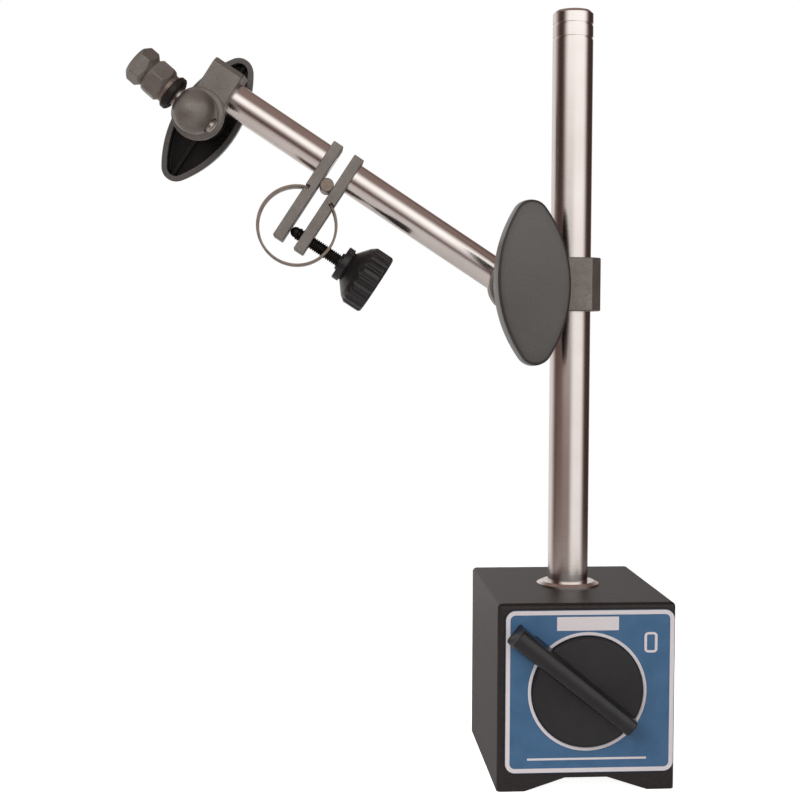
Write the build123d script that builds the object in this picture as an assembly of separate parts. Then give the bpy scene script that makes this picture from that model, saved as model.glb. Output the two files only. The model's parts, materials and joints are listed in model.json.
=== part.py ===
from build123d import *
import math
import os

# Switchable magnetic base that carries a post, a clamp, a finely adjustable arm and a stud for an
# indicator. Millimetres. +X is right and +Y is back, seen from the switch side, and +Z is up.
# The origin lies on the plane of the two feet, straight under the post.

# ---- base block ----
BASE_WIDTH = 50.8
BASE_DEPTH = 60.3
BASE_HEIGHT = 53.5
BASE_ROUND = 1.3
SEPARATOR_WIDTH = 3.0
VEE_HALF_WIDTH = 17.6
VEE_RELIEF_HALF_WIDTH = 6.0
VEE_DEPTH = 3.8

# ---- magnet rotor and switch ----
SWITCH_HEIGHT = 28.6
BORE_RADIUS = 15.0
ROTOR_RADIUS = 14.6
ROTOR_PLATE = 2.5
ROTOR_GAP = 0.4
MAGNET_THICKNESS = 11.0
SHAFT_RADIUS = 5.0
DRIVE_RADIUS = 2.2
DRIVE_LENGTH = 5.5
BUSH_THICKNESS = 5.0
COVER_THICKNESS = 4.5
STOP_RADIUS = 10.0
STOP_PIN_RADIUS = 1.0
STOP_SLOT_DEPTH = 1.9
SWITCH_TRAVEL = 90.0
KNOB_RADIUS = 15.7
KNOB_DISC = 2.1
KNOB_GAP = 0.2
LEVER_TIP = 27.2
LEVER_TAIL = 15.5
LEVER_WIDTH = 6.8
LEVER_HEIGHT = 6.8
LEVER_ANGLE = 141.1
PLATE_WIDTH = 48.1
PLATE_HEIGHT = 46.3
PLATE_THICKNESS = 0.8
PLATE_SHIFT = 0.75
PLATE_ROUND = 2.8

# ---- post ----
POST_RADIUS = 6.0
POST_TOP = 224.5
POST_CHAMFER = 0.9
SPIGOT_RADIUS = 4.0
SPIGOT_LENGTH = 8.2
COLLAR_RADIUS = 9.3
COLLAR_THICKNESS = 1.1
GROOVE_DROPS = (4.2, 8.2)
GROOVE_WIDTH = 0.7
GROOVE_DEPTH = 0.3

# ---- fits ----
RUNNING = 0.05
FACE_GAP = 0.1

# ---- clamps: rod radius, half thickness, closed end, corner cut, bolt offset, height and bolt radius,
#      then the half length, half width and tip radius of the oval knob ----
POST_CLAMP_HEIGHT = 143.7
POST_CLAMP = dict(
    rod=6.0, half=9.0, closed=7.9, cut=3.2, offset=14.4, height=15.8, bolt=3.0,
    length=23.9, width=10.85, tip=5.2,
)
END_CLAMP = dict(
    rod=5.0, half=8.0, closed=7.7, cut=1.5, offset=9.7, height=10.0, bolt=2.5,
    length=22.5, width=10.0, tip=4.6,
)
SLIT_WIDTH = 2.0
CLAMP_ROUND = 0.5
WASHER_THICKNESS = 1.0
FRICTION_WASHER = 0.5
KNOB_STANDOFF = 5.5
SOCKET_REACH = 10.5
HEAD_ROUND = 0.6

# ---- oval clamp knobs ----
OVAL_DEPTH = 7.0
OVAL_WALL = 1.8
OVAL_PLATE = 2.4
OVAL_DRAFT = 3.0
OVAL_CROWN_RADIUS = 260.0
HUB_RADIUS = 6.2
INSERT_RADIUS = 4.4
RIB_THICKNESS = 1.4
POST_KNOB_LEAN = 2.0
END_KNOB_LEAN = 91.2

# ---- arm, along its own axis from the swivel ----
ARM_ANGLE = 33.17
ARM_DEPTH = 19.5
ROD_RADIUS = 5.0
ROD_START = 3.2
ROD_END = 113.9
ROD_SPIGOT = 3.0
HINGE_AT = 65.5
BAR_GAP = 4.0
BAR_THICKNESS = 3.5
BAR_WIDTH = 11.0
BAR_ROUND = 0.4
BAR_TOP = -6.1
BAR_BOTTOM = 28.2
PIVOT_DROP = 6.4
PIVOT_RADIUS = 2.15
RING_DROP = 21.6
RING_SHIFT = 1.0
RING_RADIUS = 12.1
RING_THICKNESS = 0.8
RING_WIDTH = 7.0
RING_OPENING = 20.4
RING_LEAN = 5.0
SCREW_DROP = 23.4
SCREW_RADIUS = 2.0
SCREW_BALL = 1.7
THUMB_NOSE = 15.6
THUMB_COLLAR = 16.3
THUMB_NECK = 18.6
THUMB_HEAD = 22.0
THUMB_END = 29.7
THUMB_RADIUS = 9.9
THUMB_FLUTES = 20
END_CLAMP_AT = 109.0
END_CLAMP_TILT = 4.8

# ---- indicator stud, along its own axis from the dome's centre ----
STUD_ANGLE = -97.5
STUD_RADIUS = 3.0
STUD_TAIL_RADIUS = 1.9
STUD_TAIL = -7.3
TAIL_RECESS_RADIUS = 2.7
TAIL_RECESS = -4.6
STUD_END = 21.4
NECK_START = 6.55
FLANGE_START = 6.9
FLANGE_END = 9.2
FLANGE_RADIUS = 5.35
LUG_WASHER_END = 10.3
NUT_JOINT = 16.8
NUT_END = 22.3
NUT_FLATS = 10.2

# ---- frames ----
ARM_RISE = math.radians(ARM_ANGLE)
ARM_AXIS = Vector(-math.cos(ARM_RISE), 0, math.sin(ARM_RISE))
ARM_DOWN = Vector(-math.sin(ARM_RISE), 0, -math.cos(ARM_RISE))
SWIVEL = Vector(-POST_CLAMP["offset"], ARM_DEPTH, POST_CLAMP_HEIGHT)
# In the arm's frame X points down and left across the arm, Y to the front and Z along the arm.
ARM = Plane(origin=SWIVEL, x_dir=ARM_DOWN, z_dir=ARM_AXIS)
# In a clamp's frame Z is the rod, X points from the rod to the bolt and Y from the dome to the knob.
POST_FRAME = Plane(origin=(0, 0, POST_CLAMP_HEIGHT), x_dir=(-1, 0, 0), z_dir=(0, 0, 1))


def end_frame():
    """The end clamp's frame: on the arm, its rod axis reversed, tilted a little about the arm."""
    tilt = math.radians(END_CLAMP_TILT)
    front = Vector(0, -1, 0)
    across = ARM_DOWN * math.cos(tilt) - front * math.sin(tilt)
    return Plane(origin=SWIVEL + ARM_AXIS * END_CLAMP_AT, x_dir=across, z_dir=ARM_AXIS * -1)


END_FRAME = end_frame()


def rod_between(radius, low, high):
    """A cylinder on the local Z axis from low to high."""
    return Pos(0, 0, low) * Cylinder(radius, high - low, align=(Align.CENTER, Align.CENTER, Align.MIN))


def turned(points):
    """A solid of revolution about the local Z axis from (radius, height) points."""
    profile = make_face(Plane.XZ * Polyline(*points, close=True))
    return revolve(profile, Axis.Z)


def placed(frame, shape):
    return frame.location * shape


# ---------------------------------------------------------------- base

def base_blocks():
    """The bored body, cut into two steel pole blocks and the two brass strips between them."""
    half = BASE_WIDTH / 2
    outline = Polyline(
        (-half, 0), (-VEE_HALF_WIDTH, 0), (-VEE_RELIEF_HALF_WIDTH, VEE_DEPTH),
        (VEE_RELIEF_HALF_WIDTH, VEE_DEPTH), (VEE_HALF_WIDTH, 0), (half, 0),
        (half, BASE_HEIGHT), (-half, BASE_HEIGHT), close=True,
    )
    body = extrude(make_face(Plane.XZ * outline), BASE_DEPTH / 2, both=True)
    upright = [e for e in body.edges().filter_by(Axis.Z) if e.length > BASE_HEIGHT / 2]
    top = body.edges().group_by(Axis.Z)[-1]
    body = fillet(upright + list(top), BASE_ROUND)
    bore = Pos(0, 0, SWITCH_HEIGHT) * Rot(90, 0, 0) * Cylinder(BORE_RADIUS, BASE_DEPTH + 2)
    socket = rod_between(SPIGOT_RADIUS + RUNNING, BASE_HEIGHT - SPIGOT_LENGTH - 0.3, BASE_HEIGHT + 1)
    body = body - bore - socket
    strip = Box(SEPARATOR_WIDTH, 2 * BASE_DEPTH, 3 * BASE_HEIGHT)
    side = Box(BASE_WIDTH, 2 * BASE_DEPTH, 3 * BASE_HEIGHT)
    shift = (BASE_WIDTH + SEPARATOR_WIDTH) / 2
    strips = (body & strip).solids().sort_by(Axis.Z)
    return {
        "pole_block_left": body & (Pos(-shift, 0, 0) * side),
        "pole_block_right": body & (Pos(shift, 0, 0) * side),
        "separator_lower": strips[0],
        "separator_upper": strips[-1],
    }


def nameplate():
    """Thin printed plate round the switch knob."""
    outline = Pos(PLATE_SHIFT, 0, 0) * RectangleRounded(PLATE_WIDTH, PLATE_HEIGHT, PLATE_ROUND)
    hole = Circle(KNOB_RADIUS + 0.25)
    plate = Pos(0, 0, BASE_DEPTH / 2) * extrude(outline - hole, PLATE_THICKNESS)
    return placed(switch_frame(), plate)


def switch_frame():
    """A frame on the switch axis, Z to the front, its origin in the middle of the base."""
    return Plane(origin=(0, 0, SWITCH_HEIGHT), x_dir=(1, 0, 0), z_dir=(0, -1, 0))


def rotor_reach():
    """How far in front of and behind the middle the rotor's end faces lie."""
    ahead = BASE_DEPTH / 2 - BUSH_THICKNESS - ROTOR_GAP
    behind = BASE_DEPTH / 2 - COVER_THICKNESS - ROTOR_GAP
    return ahead, behind


def drive_end(length):
    """The shaft's end with one driving flat, from the base's front face into the knob."""
    section = Circle(DRIVE_RADIUS) - Pos(0, DRIVE_RADIUS) * Rectangle(3 * DRIVE_RADIUS, DRIVE_RADIUS * 0.5)
    return extrude(Pos(0, 0, BASE_DEPTH / 2) * section, length)


def switch_knob():
    """Round disc with a tall lever across it, longer to the tip than to the tail."""
    start = BASE_DEPTH / 2 + KNOB_GAP
    disc = rod_between(KNOB_RADIUS, start, start + KNOB_DISC)
    disc = chamfer(disc.edges().group_by(Axis.Z)[-1], 0.5)
    length = LEVER_TIP + LEVER_TAIL
    plan = Rectangle(length, LEVER_WIDTH)
    ends = plan.vertices().group_by(Axis.X)
    plan = fillet(ends[-1], LEVER_WIDTH * 0.2)
    plan = fillet(plan.vertices().group_by(Axis.X)[0], LEVER_WIDTH * 0.2)
    foot = BASE_DEPTH / 2 + PLATE_THICKNESS + KNOB_GAP
    lever = Pos((LEVER_TIP - LEVER_TAIL) / 2, 0, foot) * extrude(plan, LEVER_HEIGHT, taper=3.0)
    lever = fillet(lever.edges().group_by(Axis.Z)[-1], 0.9)
    knob = Rot(0, 0, LEVER_ANGLE) * (disc + lever) - drive_end(DRIVE_LENGTH + FACE_GAP)
    return placed(switch_frame(), knob)


def magnet_rotor():
    """Magnet slab between two steel shoes, with brass end plates and a shaft that turn in the bore."""
    ahead, behind = rotor_reach()
    front, back = ahead - ROTOR_PLATE, -behind + ROTOR_PLATE
    wide = 2 * math.sqrt(ROTOR_RADIUS**2 - (MAGNET_THICKNESS / 2) ** 2)
    middle = Rot(0, 0, LEVER_ANGLE) * Pos(0, 0, (front + back) / 2)
    slab = middle * Box(wide, MAGNET_THICKNESS, front - back)
    gap = middle * Box(3 * ROTOR_RADIUS, MAGNET_THICKNESS, 2 * (front - back))
    cheeks = rod_between(ROTOR_RADIUS, back, front) - gap
    shaft = rod_between(SHAFT_RADIUS, ahead, BASE_DEPTH / 2) + drive_end(DRIVE_LENGTH)
    slot_middle = SWITCH_TRAVEL / 2 - 90.0
    arc = CenterArc((0, 0), STOP_RADIUS, slot_middle - SWITCH_TRAVEL / 2, SWITCH_TRAVEL)
    slot = SlotArc(arc, 2 * (STOP_PIN_RADIUS + FACE_GAP))
    cut = extrude(Pos(0, 0, ahead) * slot, -STOP_SLOT_DEPTH)
    front_plate = rod_between(ROTOR_RADIUS - 0.2, front, ahead) - cut + shaft
    rear_plate = rod_between(ROTOR_RADIUS - 0.2, -behind, back)
    rear_plate = rear_plate + rod_between(SHAFT_RADIUS, -behind - 3.0, -behind)
    place = switch_frame()
    return {
        "rotor_magnet": placed(place, slab),
        "rotor_shoes": placed(place, cheeks),
        "rotor_front_plate": placed(place, front_plate),
        "rotor_rear_plate": placed(place, rear_plate),
    }


def bore_ends():
    """Front bush with its stop pin, and the rear cover that closes the bore."""
    front = BASE_DEPTH / 2
    place = switch_frame()
    pin_hole = Rot(0, 0, -90) * Pos(STOP_RADIUS, 0, 0)
    bush = rod_between(BORE_RADIUS, front - BUSH_THICKNESS, front)
    bush = bush - rod_between(SHAFT_RADIUS + RUNNING, 0, front + 1)
    bush = bush - pin_hole * rod_between(STOP_PIN_RADIUS, front - BUSH_THICKNESS - 1, front - 1)
    pin_start = front - BUSH_THICKNESS - ROTOR_GAP - STOP_SLOT_DEPTH + 0.3
    pin = pin_hole * rod_between(STOP_PIN_RADIUS, pin_start, front - 1)
    cover = turned([
        (0, -front), (5.6, -front), (6.4, -front + 1.2), (12.2, -front + 1.2), (13.0, -front),
        (BORE_RADIUS, -front), (BORE_RADIUS, -front + COVER_THICKNESS), (0, -front + COVER_THICKNESS),
    ])
    cover = cover - rod_between(SHAFT_RADIUS + RUNNING, -front + 1.2, 0)
    return {
        "front_bush": placed(place, bush),
        "stop_pin": placed(place, pin),
        "rear_cover": placed(place, cover),
    }


# ---------------------------------------------------------------- post

def post():
    """Ground rod with two turned lines near its top and a spigot that screws into the base."""
    rod = rod_between(POST_RADIUS, BASE_HEIGHT, POST_TOP)
    rod = chamfer(rod.edges().group_by(Axis.Z)[-1], POST_CHAMFER)
    for drop in GROOVE_DROPS:
        middle = POST_TOP - drop
        band = rod_between(POST_RADIUS + 1, middle - GROOVE_WIDTH / 2, middle + GROOVE_WIDTH / 2)
        band = band - rod_between(POST_RADIUS - GROOVE_DEPTH, middle - 2, middle + 2)
        rod = rod - band
    spigot = rod_between(SPIGOT_RADIUS, BASE_HEIGHT - SPIGOT_LENGTH, BASE_HEIGHT)
    return rod + chamfer(spigot.edges().group_by(Axis.Z)[0], 0.6)


def post_collar():
    """Thin chromed washer under the post."""
    low, high = BASE_HEIGHT, BASE_HEIGHT + COLLAR_THICKNESS
    inner = POST_RADIUS + RUNNING
    return turned([
        (inner, low), (COLLAR_RADIUS, low), (COLLAR_RADIUS, low + 0.4),
        (COLLAR_RADIUS - 1.4, high), (inner, high),
    ])


# ---------------------------------------------------------------- clamps

def clamp_block(c):
    """Split block: closed round the rod, open towards the bolt that draws its jaws together."""
    end = c["offset"] + c["height"] / 2
    half, cut = c["half"], c["cut"]
    plan = Polyline(
        (-c["closed"], -half + cut), (-c["closed"] + cut, -half), (end, -half),
        (end, half), (-c["closed"] + cut, half), (-c["closed"], half - cut), close=True,
    )
    block = extrude(make_face(plan), c["height"] / 2, both=True)
    side = Plane.XZ * (
        Pos((c["offset"] - c["closed"]) / 2, 0) * Rectangle(c["offset"] + c["closed"], c["height"])
        + Pos(c["offset"], 0) * Circle(c["height"] / 2)
    )
    block = block & extrude(side, half + 1, both=True)
    block = fillet(block.edges(), CLAMP_ROUND)
    block = block - Cylinder(c["rod"] + RUNNING, 2 * c["height"])
    block = block - Pos(end / 2 + 1, 0, 0) * Box(end + 2, SLIT_WIDTH, 2 * c["height"])
    hole = Pos(c["offset"], 0, 0) * Rot(90, 0, 0) * Cylinder(c["bolt"] + 2 * RUNNING, 4 * half)
    return block - hole


def bolt_axis(c, reach):
    """A frame on a clamp's bolt, Z from the dome to the knob, at a reach from the rod's axis."""
    return Plane(origin=(c["offset"], reach, 0), x_dir=(1, 0, 0), z_dir=(0, 1, 0))


def clamp_bolt(c):
    """Headless bolt, screwed into the dome and passing both jaws into the knob."""
    start = -c["half"] - 5.0
    end = c["half"] + KNOB_STANDOFF + OVAL_DEPTH - OVAL_PLATE - 0.6
    bolt = rod_between(c["bolt"], start, end)
    return bolt_axis(c, 0).location * chamfer(bolt.edges().filter_by(GeomType.CIRCLE), 0.5)


def ring_washer(c, outer, low, high, clearance):
    washer = rod_between(outer, low, high) - rod_between(c["bolt"] + clearance, low - 1, high + 1)
    return bolt_axis(c, 0).location * washer


def dome(c, disc_radius, dome_radius):
    """Swivelling head beside a clamp: a disc on the jaws, a short barrel and a round nose."""
    near = -c["half"] - FRICTION_WASHER
    centre = -c["half"] - SOCKET_REACH
    profile = make_face(Plane.XZ * Polyline(
        (0, near), (disc_radius, near), (disc_radius, near - 2.6),
        (dome_radius, near - 3.3), (dome_radius, centre), (0, centre), close=True,
    ))
    rim = [v for v in profile.vertices() if v.X > disc_radius - 0.1]
    barrel = revolve(fillet(rim, HEAD_ROUND), Axis.Z)
    ball = Pos(0, 0, centre) * Sphere(dome_radius)
    head = barrel + ball
    tapped = rod_between(c["bolt"], -c["half"] - 5.0, -c["half"] + 1)
    return bolt_axis(c, 0).location * (head - tapped)


def oval_outline(c, shrink):
    """Pointed oval: two long side arcs blended by round tips, drawn in by shrink."""
    tip, width = c["tip"], c["width"]
    tip_at = c["length"] - tip
    side = (width**2 + tip_at**2 - tip**2) / (2 * (width - tip))
    offset = side - width
    lens = Pos(-offset, 0) * Circle(side - shrink) & Pos(offset, 0) * Circle(side - shrink)
    # the tip arcs touch the side arcs where the line through both centres meets them
    meet = tip_at + (tip - shrink) * tip_at / math.hypot(offset, tip_at)
    band = Rectangle(4 * width, 2 * meet)
    caps = Pos(0, tip_at) * Circle(tip - shrink) + Pos(0, -tip_at) * Circle(tip - shrink)
    return (lens & band) + caps


def oval_knob(c, lean):
    """Hollow oval wing knob with a crowned face, a rim, ribs and a hub, and its brass insert."""
    rim = c["half"] + KNOB_STANDOFF
    face = rim + OVAL_DEPTH
    shell = Pos(0, 0, rim) * extrude(oval_outline(c, 0), OVAL_DEPTH + 1.5, taper=OVAL_DRAFT)
    crown = Pos(0, 0, face + 0.8 - OVAL_CROWN_RADIUS) * Sphere(OVAL_CROWN_RADIUS)
    shell = shell & crown
    cavity = Pos(0, 0, rim - 1) * extrude(oval_outline(c, OVAL_WALL), OVAL_DEPTH - OVAL_PLATE + 1)
    shell = shell - cavity
    rib_top = face - OVAL_PLATE + 0.5
    ribs = Box(RIB_THICKNESS, 2 * c["length"] - 3, rib_top - rim - 1.5)
    ribs = ribs + Box(2 * c["width"] - 2.5, RIB_THICKNESS, rib_top - rim - 1.5)
    ribs = Pos(0, 0, (rib_top + rim + 1.5) / 2) * ribs
    hub = rod_between(HUB_RADIUS, c["half"] + WASHER_THICKNESS + FACE_GAP, rib_top)
    knob = shell + ribs + hub
    seat_end = face - OVAL_PLATE
    knob = knob - rod_between(INSERT_RADIUS, c["half"], seat_end)
    insert = rod_between(INSERT_RADIUS, c["half"] + WASHER_THICKNESS + FACE_GAP, seat_end)
    insert = insert - rod_between(c["bolt"] + RUNNING, c["half"], seat_end + 1)
    # the knob's long axis starts along the bolt frame's Y, which lies against the rod
    place = bolt_axis(c, 0).location * Rot(0, 0, lean)
    return place * knob, place * insert


# ---------------------------------------------------------------- arm

def bar(side):
    """One bar of the fine adjustment; side is -1 for the fixed bar and 1 for the moving bar."""
    middle = HINGE_AT + side * (BAR_GAP + BAR_THICKNESS) / 2
    length = BAR_BOTTOM - BAR_TOP
    shape = Pos((BAR_TOP + BAR_BOTTOM) / 2, 0, middle) * Box(length, BAR_WIDTH, BAR_THICKNESS)
    shape = fillet(shape.edges(), BAR_ROUND)
    rod_clearance = RUNNING if side > 0 else 0.0
    shape = shape - rod_between(ROD_SPIGOT + rod_clearance, middle - 5, middle + 5)
    shape = shape - across_arm(PIVOT_RADIUS + (RUNNING if side > 0 else 0.0), PIVOT_DROP)
    slot = ring_shape(RING_THICKNESS + 0.5, 2 * BAR_WIDTH, RING_OPENING - 1.5)
    shape = shape - slot
    if side < 0:
        shape = shape - Pos(SCREW_DROP, 0, 0) * rod_between(SCREW_RADIUS + RUNNING, middle - 5, middle + 5)
    return placed(ARM, shape)


def across_arm(radius, drop):
    """A cylinder across the arm, in the arm's frame, on the hinge line."""
    return Pos(drop, 0, HINGE_AT) * Rot(90, 0, 0) * Cylinder(radius, 2 * BAR_WIDTH)


def ring_shape(thickness, width, opening):
    """Open ring of flat strip round the bars' lower ends; opening is half the gap's angle."""
    lean = math.radians(RING_LEAN)
    inner, outer = RING_RADIUS - thickness / 2, RING_RADIUS + thickness / 2
    reach = 2 * RING_RADIUS
    gap = math.radians(opening)
    wedge = make_face(Polyline(
        (0, 0), (-reach * math.cos(gap - lean), reach * math.sin(gap - lean)),
        (-reach * math.cos(gap + lean), -reach * math.sin(gap + lean)), close=True,
    ))
    strip = extrude(Circle(outer) - Circle(inner) - wedge, width / 2, both=True)
    return Pos(RING_DROP, 0, HINGE_AT + RING_SHIFT) * Rot(90, 0, 0) * strip


def ring_spring():
    """Flat strip ring that hooks over both bars and lets the thumbscrew through."""
    hole = Pos(SCREW_DROP, 0, 0) * rod_between(SCREW_RADIUS + 0.25, HINGE_AT - 20, HINGE_AT)
    return placed(ARM, ring_shape(RING_THICKNESS, RING_WIDTH, RING_OPENING) - hole)


def pivot_pin():
    pin = Rot(90, 0, 0) * Cylinder(PIVOT_RADIUS, BAR_WIDTH)
    pin = chamfer(pin.edges().filter_by(GeomType.CIRCLE), 0.3)
    return placed(ARM, Pos(PIVOT_DROP, 0, HINGE_AT) * pin)


def inner_rod():
    """Rod from the dome to the fixed bar, riveted through it by a spigot."""
    face = HINGE_AT - BAR_GAP / 2 - BAR_THICKNESS
    rod = rod_between(ROD_RADIUS, ROD_START, face)
    return placed(ARM, rod + rod_between(ROD_SPIGOT, face, face + BAR_THICKNESS))


def outer_rod():
    """Rod from the moving bar to the end clamp."""
    face = HINGE_AT + BAR_GAP / 2 + BAR_THICKNESS
    rod = rod_between(ROD_RADIUS, face + RUNNING, ROD_END)
    rod = chamfer(rod.edges().group_by(Axis.Z)[-1], 0.6)
    return placed(ARM, rod + rod_between(ROD_SPIGOT, face - BAR_THICKNESS, face + RUNNING))


def thumb_screw():
    """Fine threaded screw whose ball end pushes on the moving bar."""
    tip = HINGE_AT + BAR_GAP / 2 - FACE_GAP
    screw = rod_between(SCREW_RADIUS, HINGE_AT - THUMB_END + 4, tip - SCREW_BALL - 0.1)
    nose = rod_between(SCREW_BALL, tip - SCREW_BALL - 0.2, tip - SCREW_BALL)
    nose = nose + Pos(0, 0, tip - SCREW_BALL) * Sphere(SCREW_BALL)
    return placed(ARM, Pos(SCREW_DROP, 0, 0) * (screw + nose))


def thumb_knob():
    """Moulded knob: nose, collar, conical neck and a fluted head."""
    m = HINGE_AT
    body = turned([
        (0, m - THUMB_NOSE), (2.7, m - THUMB_NOSE), (2.9, m - THUMB_COLLAR), (5.1, m - THUMB_COLLAR),
        (5.5, m - THUMB_COLLAR - 0.4), (5.5, m - THUMB_NECK + 0.3), (5.2, m - THUMB_NECK),
        (4.4, m - THUMB_NECK), (8.6, m - THUMB_HEAD),
        (THUMB_RADIUS, m - THUMB_HEAD - 1.7), (THUMB_RADIUS, m - THUMB_END + 1.0),
        (THUMB_RADIUS - 1.0, m - THUMB_END), (0, m - THUMB_END),
    ])
    flute = Pos(THUMB_RADIUS + 0.55, 0, 0) * rod_between(0.95, m - THUMB_END - 1, m - THUMB_HEAD + 1)
    for i in range(THUMB_FLUTES):
        body = body - Rot(0, 0, 360.0 * i / THUMB_FLUTES) * flute
    body = body - rod_between(SCREW_RADIUS + RUNNING, m - THUMB_END + 4 - FACE_GAP, m)
    return placed(ARM, Pos(SCREW_DROP, 0, 0) * body)


# ---------------------------------------------------------------- heads

def arm_head():
    """Dome behind the post clamp, with the inner rod's socket."""
    head = placed(POST_FRAME, dome(POST_CLAMP, 8.7, 8.1))
    return head - placed(ARM, rod_between(ROD_RADIUS, ROD_START, 40.0))


def stud_frame():
    """Frame on the indicator stud, its origin at the end dome's centre and Z along the stud."""
    turn = math.radians(STUD_ANGLE)
    centre = END_FRAME.from_local_coords((END_CLAMP["offset"], -END_CLAMP["half"] - SOCKET_REACH, 0))
    tip = END_FRAME.from_local_coords((
        END_CLAMP["offset"] + math.cos(turn), -END_CLAMP["half"] - SOCKET_REACH, math.sin(turn),
    ))
    return Plane(origin=centre, x_dir=END_FRAME.y_dir, z_dir=tip - centre)


STUD = stud_frame()


def end_head():
    """Dome in front of the end clamp, bored across for the indicator stud, wider round its tail."""
    head = placed(END_FRAME, dome(END_CLAMP, 7.9, 6.5))
    bore = rod_between(STUD_RADIUS, -4.0, 20.0) + rod_between(STUD_TAIL_RADIUS, -20.0, -3.9)
    bore = bore + rod_between(TAIL_RECESS_RADIUS, -20.0, TAIL_RECESS)
    return head - placed(STUD, bore)


def indicator_stud():
    tail = rod_between(STUD_TAIL_RADIUS, STUD_TAIL, -4.0)
    tail = fillet(tail.edges().group_by(Axis.Z)[0], 0.7)
    shank = rod_between(STUD_RADIUS, -4.0, STUD_END)
    shank = chamfer(shank.edges().group_by(Axis.Z)[-1], 0.6)
    return placed(STUD, tail + shank)


def lug_flange():
    """Fixed flange that the indicator's lug rests on."""
    neck = STUD_RADIUS + 1.2
    return placed(STUD, turned([
        (STUD_RADIUS, NECK_START), (neck, NECK_START), (neck, FLANGE_START),
        (FLANGE_RADIUS - 0.5, FLANGE_START),
        (FLANGE_RADIUS, FLANGE_START + 0.5), (FLANGE_RADIUS, FLANGE_END - 0.5),
        (FLANGE_RADIUS - 0.5, FLANGE_END), (STUD_RADIUS, FLANGE_END),
    ]))


def lug_washer():
    inner = STUD_RADIUS + RUNNING
    return placed(STUD, rod_between(4.5, FLANGE_END, LUG_WASHER_END) - rod_between(inner, 0, 40))


def hex_nut(low, high, turn):
    """Hexagon nut with both ends chamfered, turned about the stud."""
    corner = NUT_FLATS / math.sqrt(3)
    prism = Pos(0, 0, low) * extrude(RegularPolygon(corner, 6), high - low)
    rounder = turned([
        (0, low), (NUT_FLATS / 2 - 0.3, low), (corner + 0.2, low + 1.1),
        (corner + 0.2, high - 1.1), (NUT_FLATS / 2 - 0.3, high), (0, high),
    ])
    nut = (prism & rounder) - rod_between(STUD_RADIUS + RUNNING, low - 1, high + 1)
    return placed(STUD, Rot(0, 0, turn) * nut)


def clamp_parts(prefix, frame, c, lean):
    knob, insert = oval_knob(c, lean)
    shapes = {
        "clamp_block": clamp_block(c),
        "clamp_bolt": clamp_bolt(c),
        "friction_washer": ring_washer(c, c["bolt"] + 4.6, -c["half"] - FRICTION_WASHER, -c["half"], 0.3),
        "knob_washer": ring_washer(c, c["bolt"] + 3.6, c["half"], c["half"] + WASHER_THICKNESS, 0.3),
        "clamp_knob": knob,
        "knob_insert": insert,
    }
    return {f"{prefix}_{name}": placed(frame, shape) for name, shape in shapes.items()}


def all_parts():
    parts = base_blocks()
    parts["nameplate"] = nameplate()
    parts["switch_knob"] = switch_knob()
    parts.update(magnet_rotor())
    parts.update(bore_ends())
    parts["post"] = post()
    parts["post_collar"] = post_collar()
    parts.update(clamp_parts("post", POST_FRAME, POST_CLAMP, POST_KNOB_LEAN))
    parts["arm_head"] = arm_head()
    parts["inner_rod"] = inner_rod()
    parts["fixed_bar"] = bar(-1)
    parts["moving_bar"] = bar(1)
    parts["pivot_pin"] = pivot_pin()
    parts["ring_spring"] = ring_spring()
    parts["thumb_screw"] = thumb_screw()
    parts["thumb_knob"] = thumb_knob()
    parts["outer_rod"] = outer_rod()
    parts.update(clamp_parts("end", END_FRAME, END_CLAMP, END_KNOB_LEAN))
    parts["end_head"] = end_head()
    parts["indicator_stud"] = indicator_stud()
    parts["lug_flange"] = lug_flange()
    parts["lug_washer"] = lug_washer()
    parts["lug_nut"] = hex_nut(LUG_WASHER_END, NUT_JOINT, 8.0)
    parts["lock_nut"] = hex_nut(NUT_JOINT, NUT_END, 26.0)
    return parts


os.makedirs("parts", exist_ok=True)
for name, shape in all_parts().items():
    export_step(shape, f"parts/{name}.step")
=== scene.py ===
"""Finishes and finely shaped pieces of a switchable magnetic base with an adjustable arm.

Shapes are worked out in millimetres and put into the packed frame in metres.
"""

import json
import math

import bmesh
import bpy
import numpy as np
from bpy.props import FloatProperty, FloatVectorProperty, IntProperty, PointerProperty
from mathutils import Matrix


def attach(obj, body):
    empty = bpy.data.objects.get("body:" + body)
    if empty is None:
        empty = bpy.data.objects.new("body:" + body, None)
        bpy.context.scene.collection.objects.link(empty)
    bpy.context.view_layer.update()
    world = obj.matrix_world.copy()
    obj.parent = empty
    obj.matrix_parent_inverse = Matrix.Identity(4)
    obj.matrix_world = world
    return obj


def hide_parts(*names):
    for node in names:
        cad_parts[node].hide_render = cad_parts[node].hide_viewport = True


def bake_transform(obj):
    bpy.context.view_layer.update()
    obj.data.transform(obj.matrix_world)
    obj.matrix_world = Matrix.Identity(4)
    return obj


bl_info = {
    "name": "Magnetic base finish",
    "version": (1, 0, 0),
    "blender": (4, 5, 0),
    "location": "3D View > Sidebar > Magnetic base",
    "description": "Shapes and finishes of a switchable magnetic base, built round its packed frame",
    "category": "Object",
}

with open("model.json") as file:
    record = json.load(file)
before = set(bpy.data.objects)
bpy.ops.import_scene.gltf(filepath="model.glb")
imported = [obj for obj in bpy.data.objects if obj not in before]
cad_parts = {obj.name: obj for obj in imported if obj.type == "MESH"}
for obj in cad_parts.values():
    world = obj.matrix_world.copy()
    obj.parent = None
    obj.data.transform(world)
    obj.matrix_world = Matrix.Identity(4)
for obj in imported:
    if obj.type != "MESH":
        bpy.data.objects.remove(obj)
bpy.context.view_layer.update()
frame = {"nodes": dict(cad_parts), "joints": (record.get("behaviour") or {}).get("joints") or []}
MM = 0.001


# ---------------------------------------------------------------- places in the frame

def unit(vector):
    """The vector at length one."""
    vector = np.asarray(vector, float)
    return vector / np.linalg.norm(vector)


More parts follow.
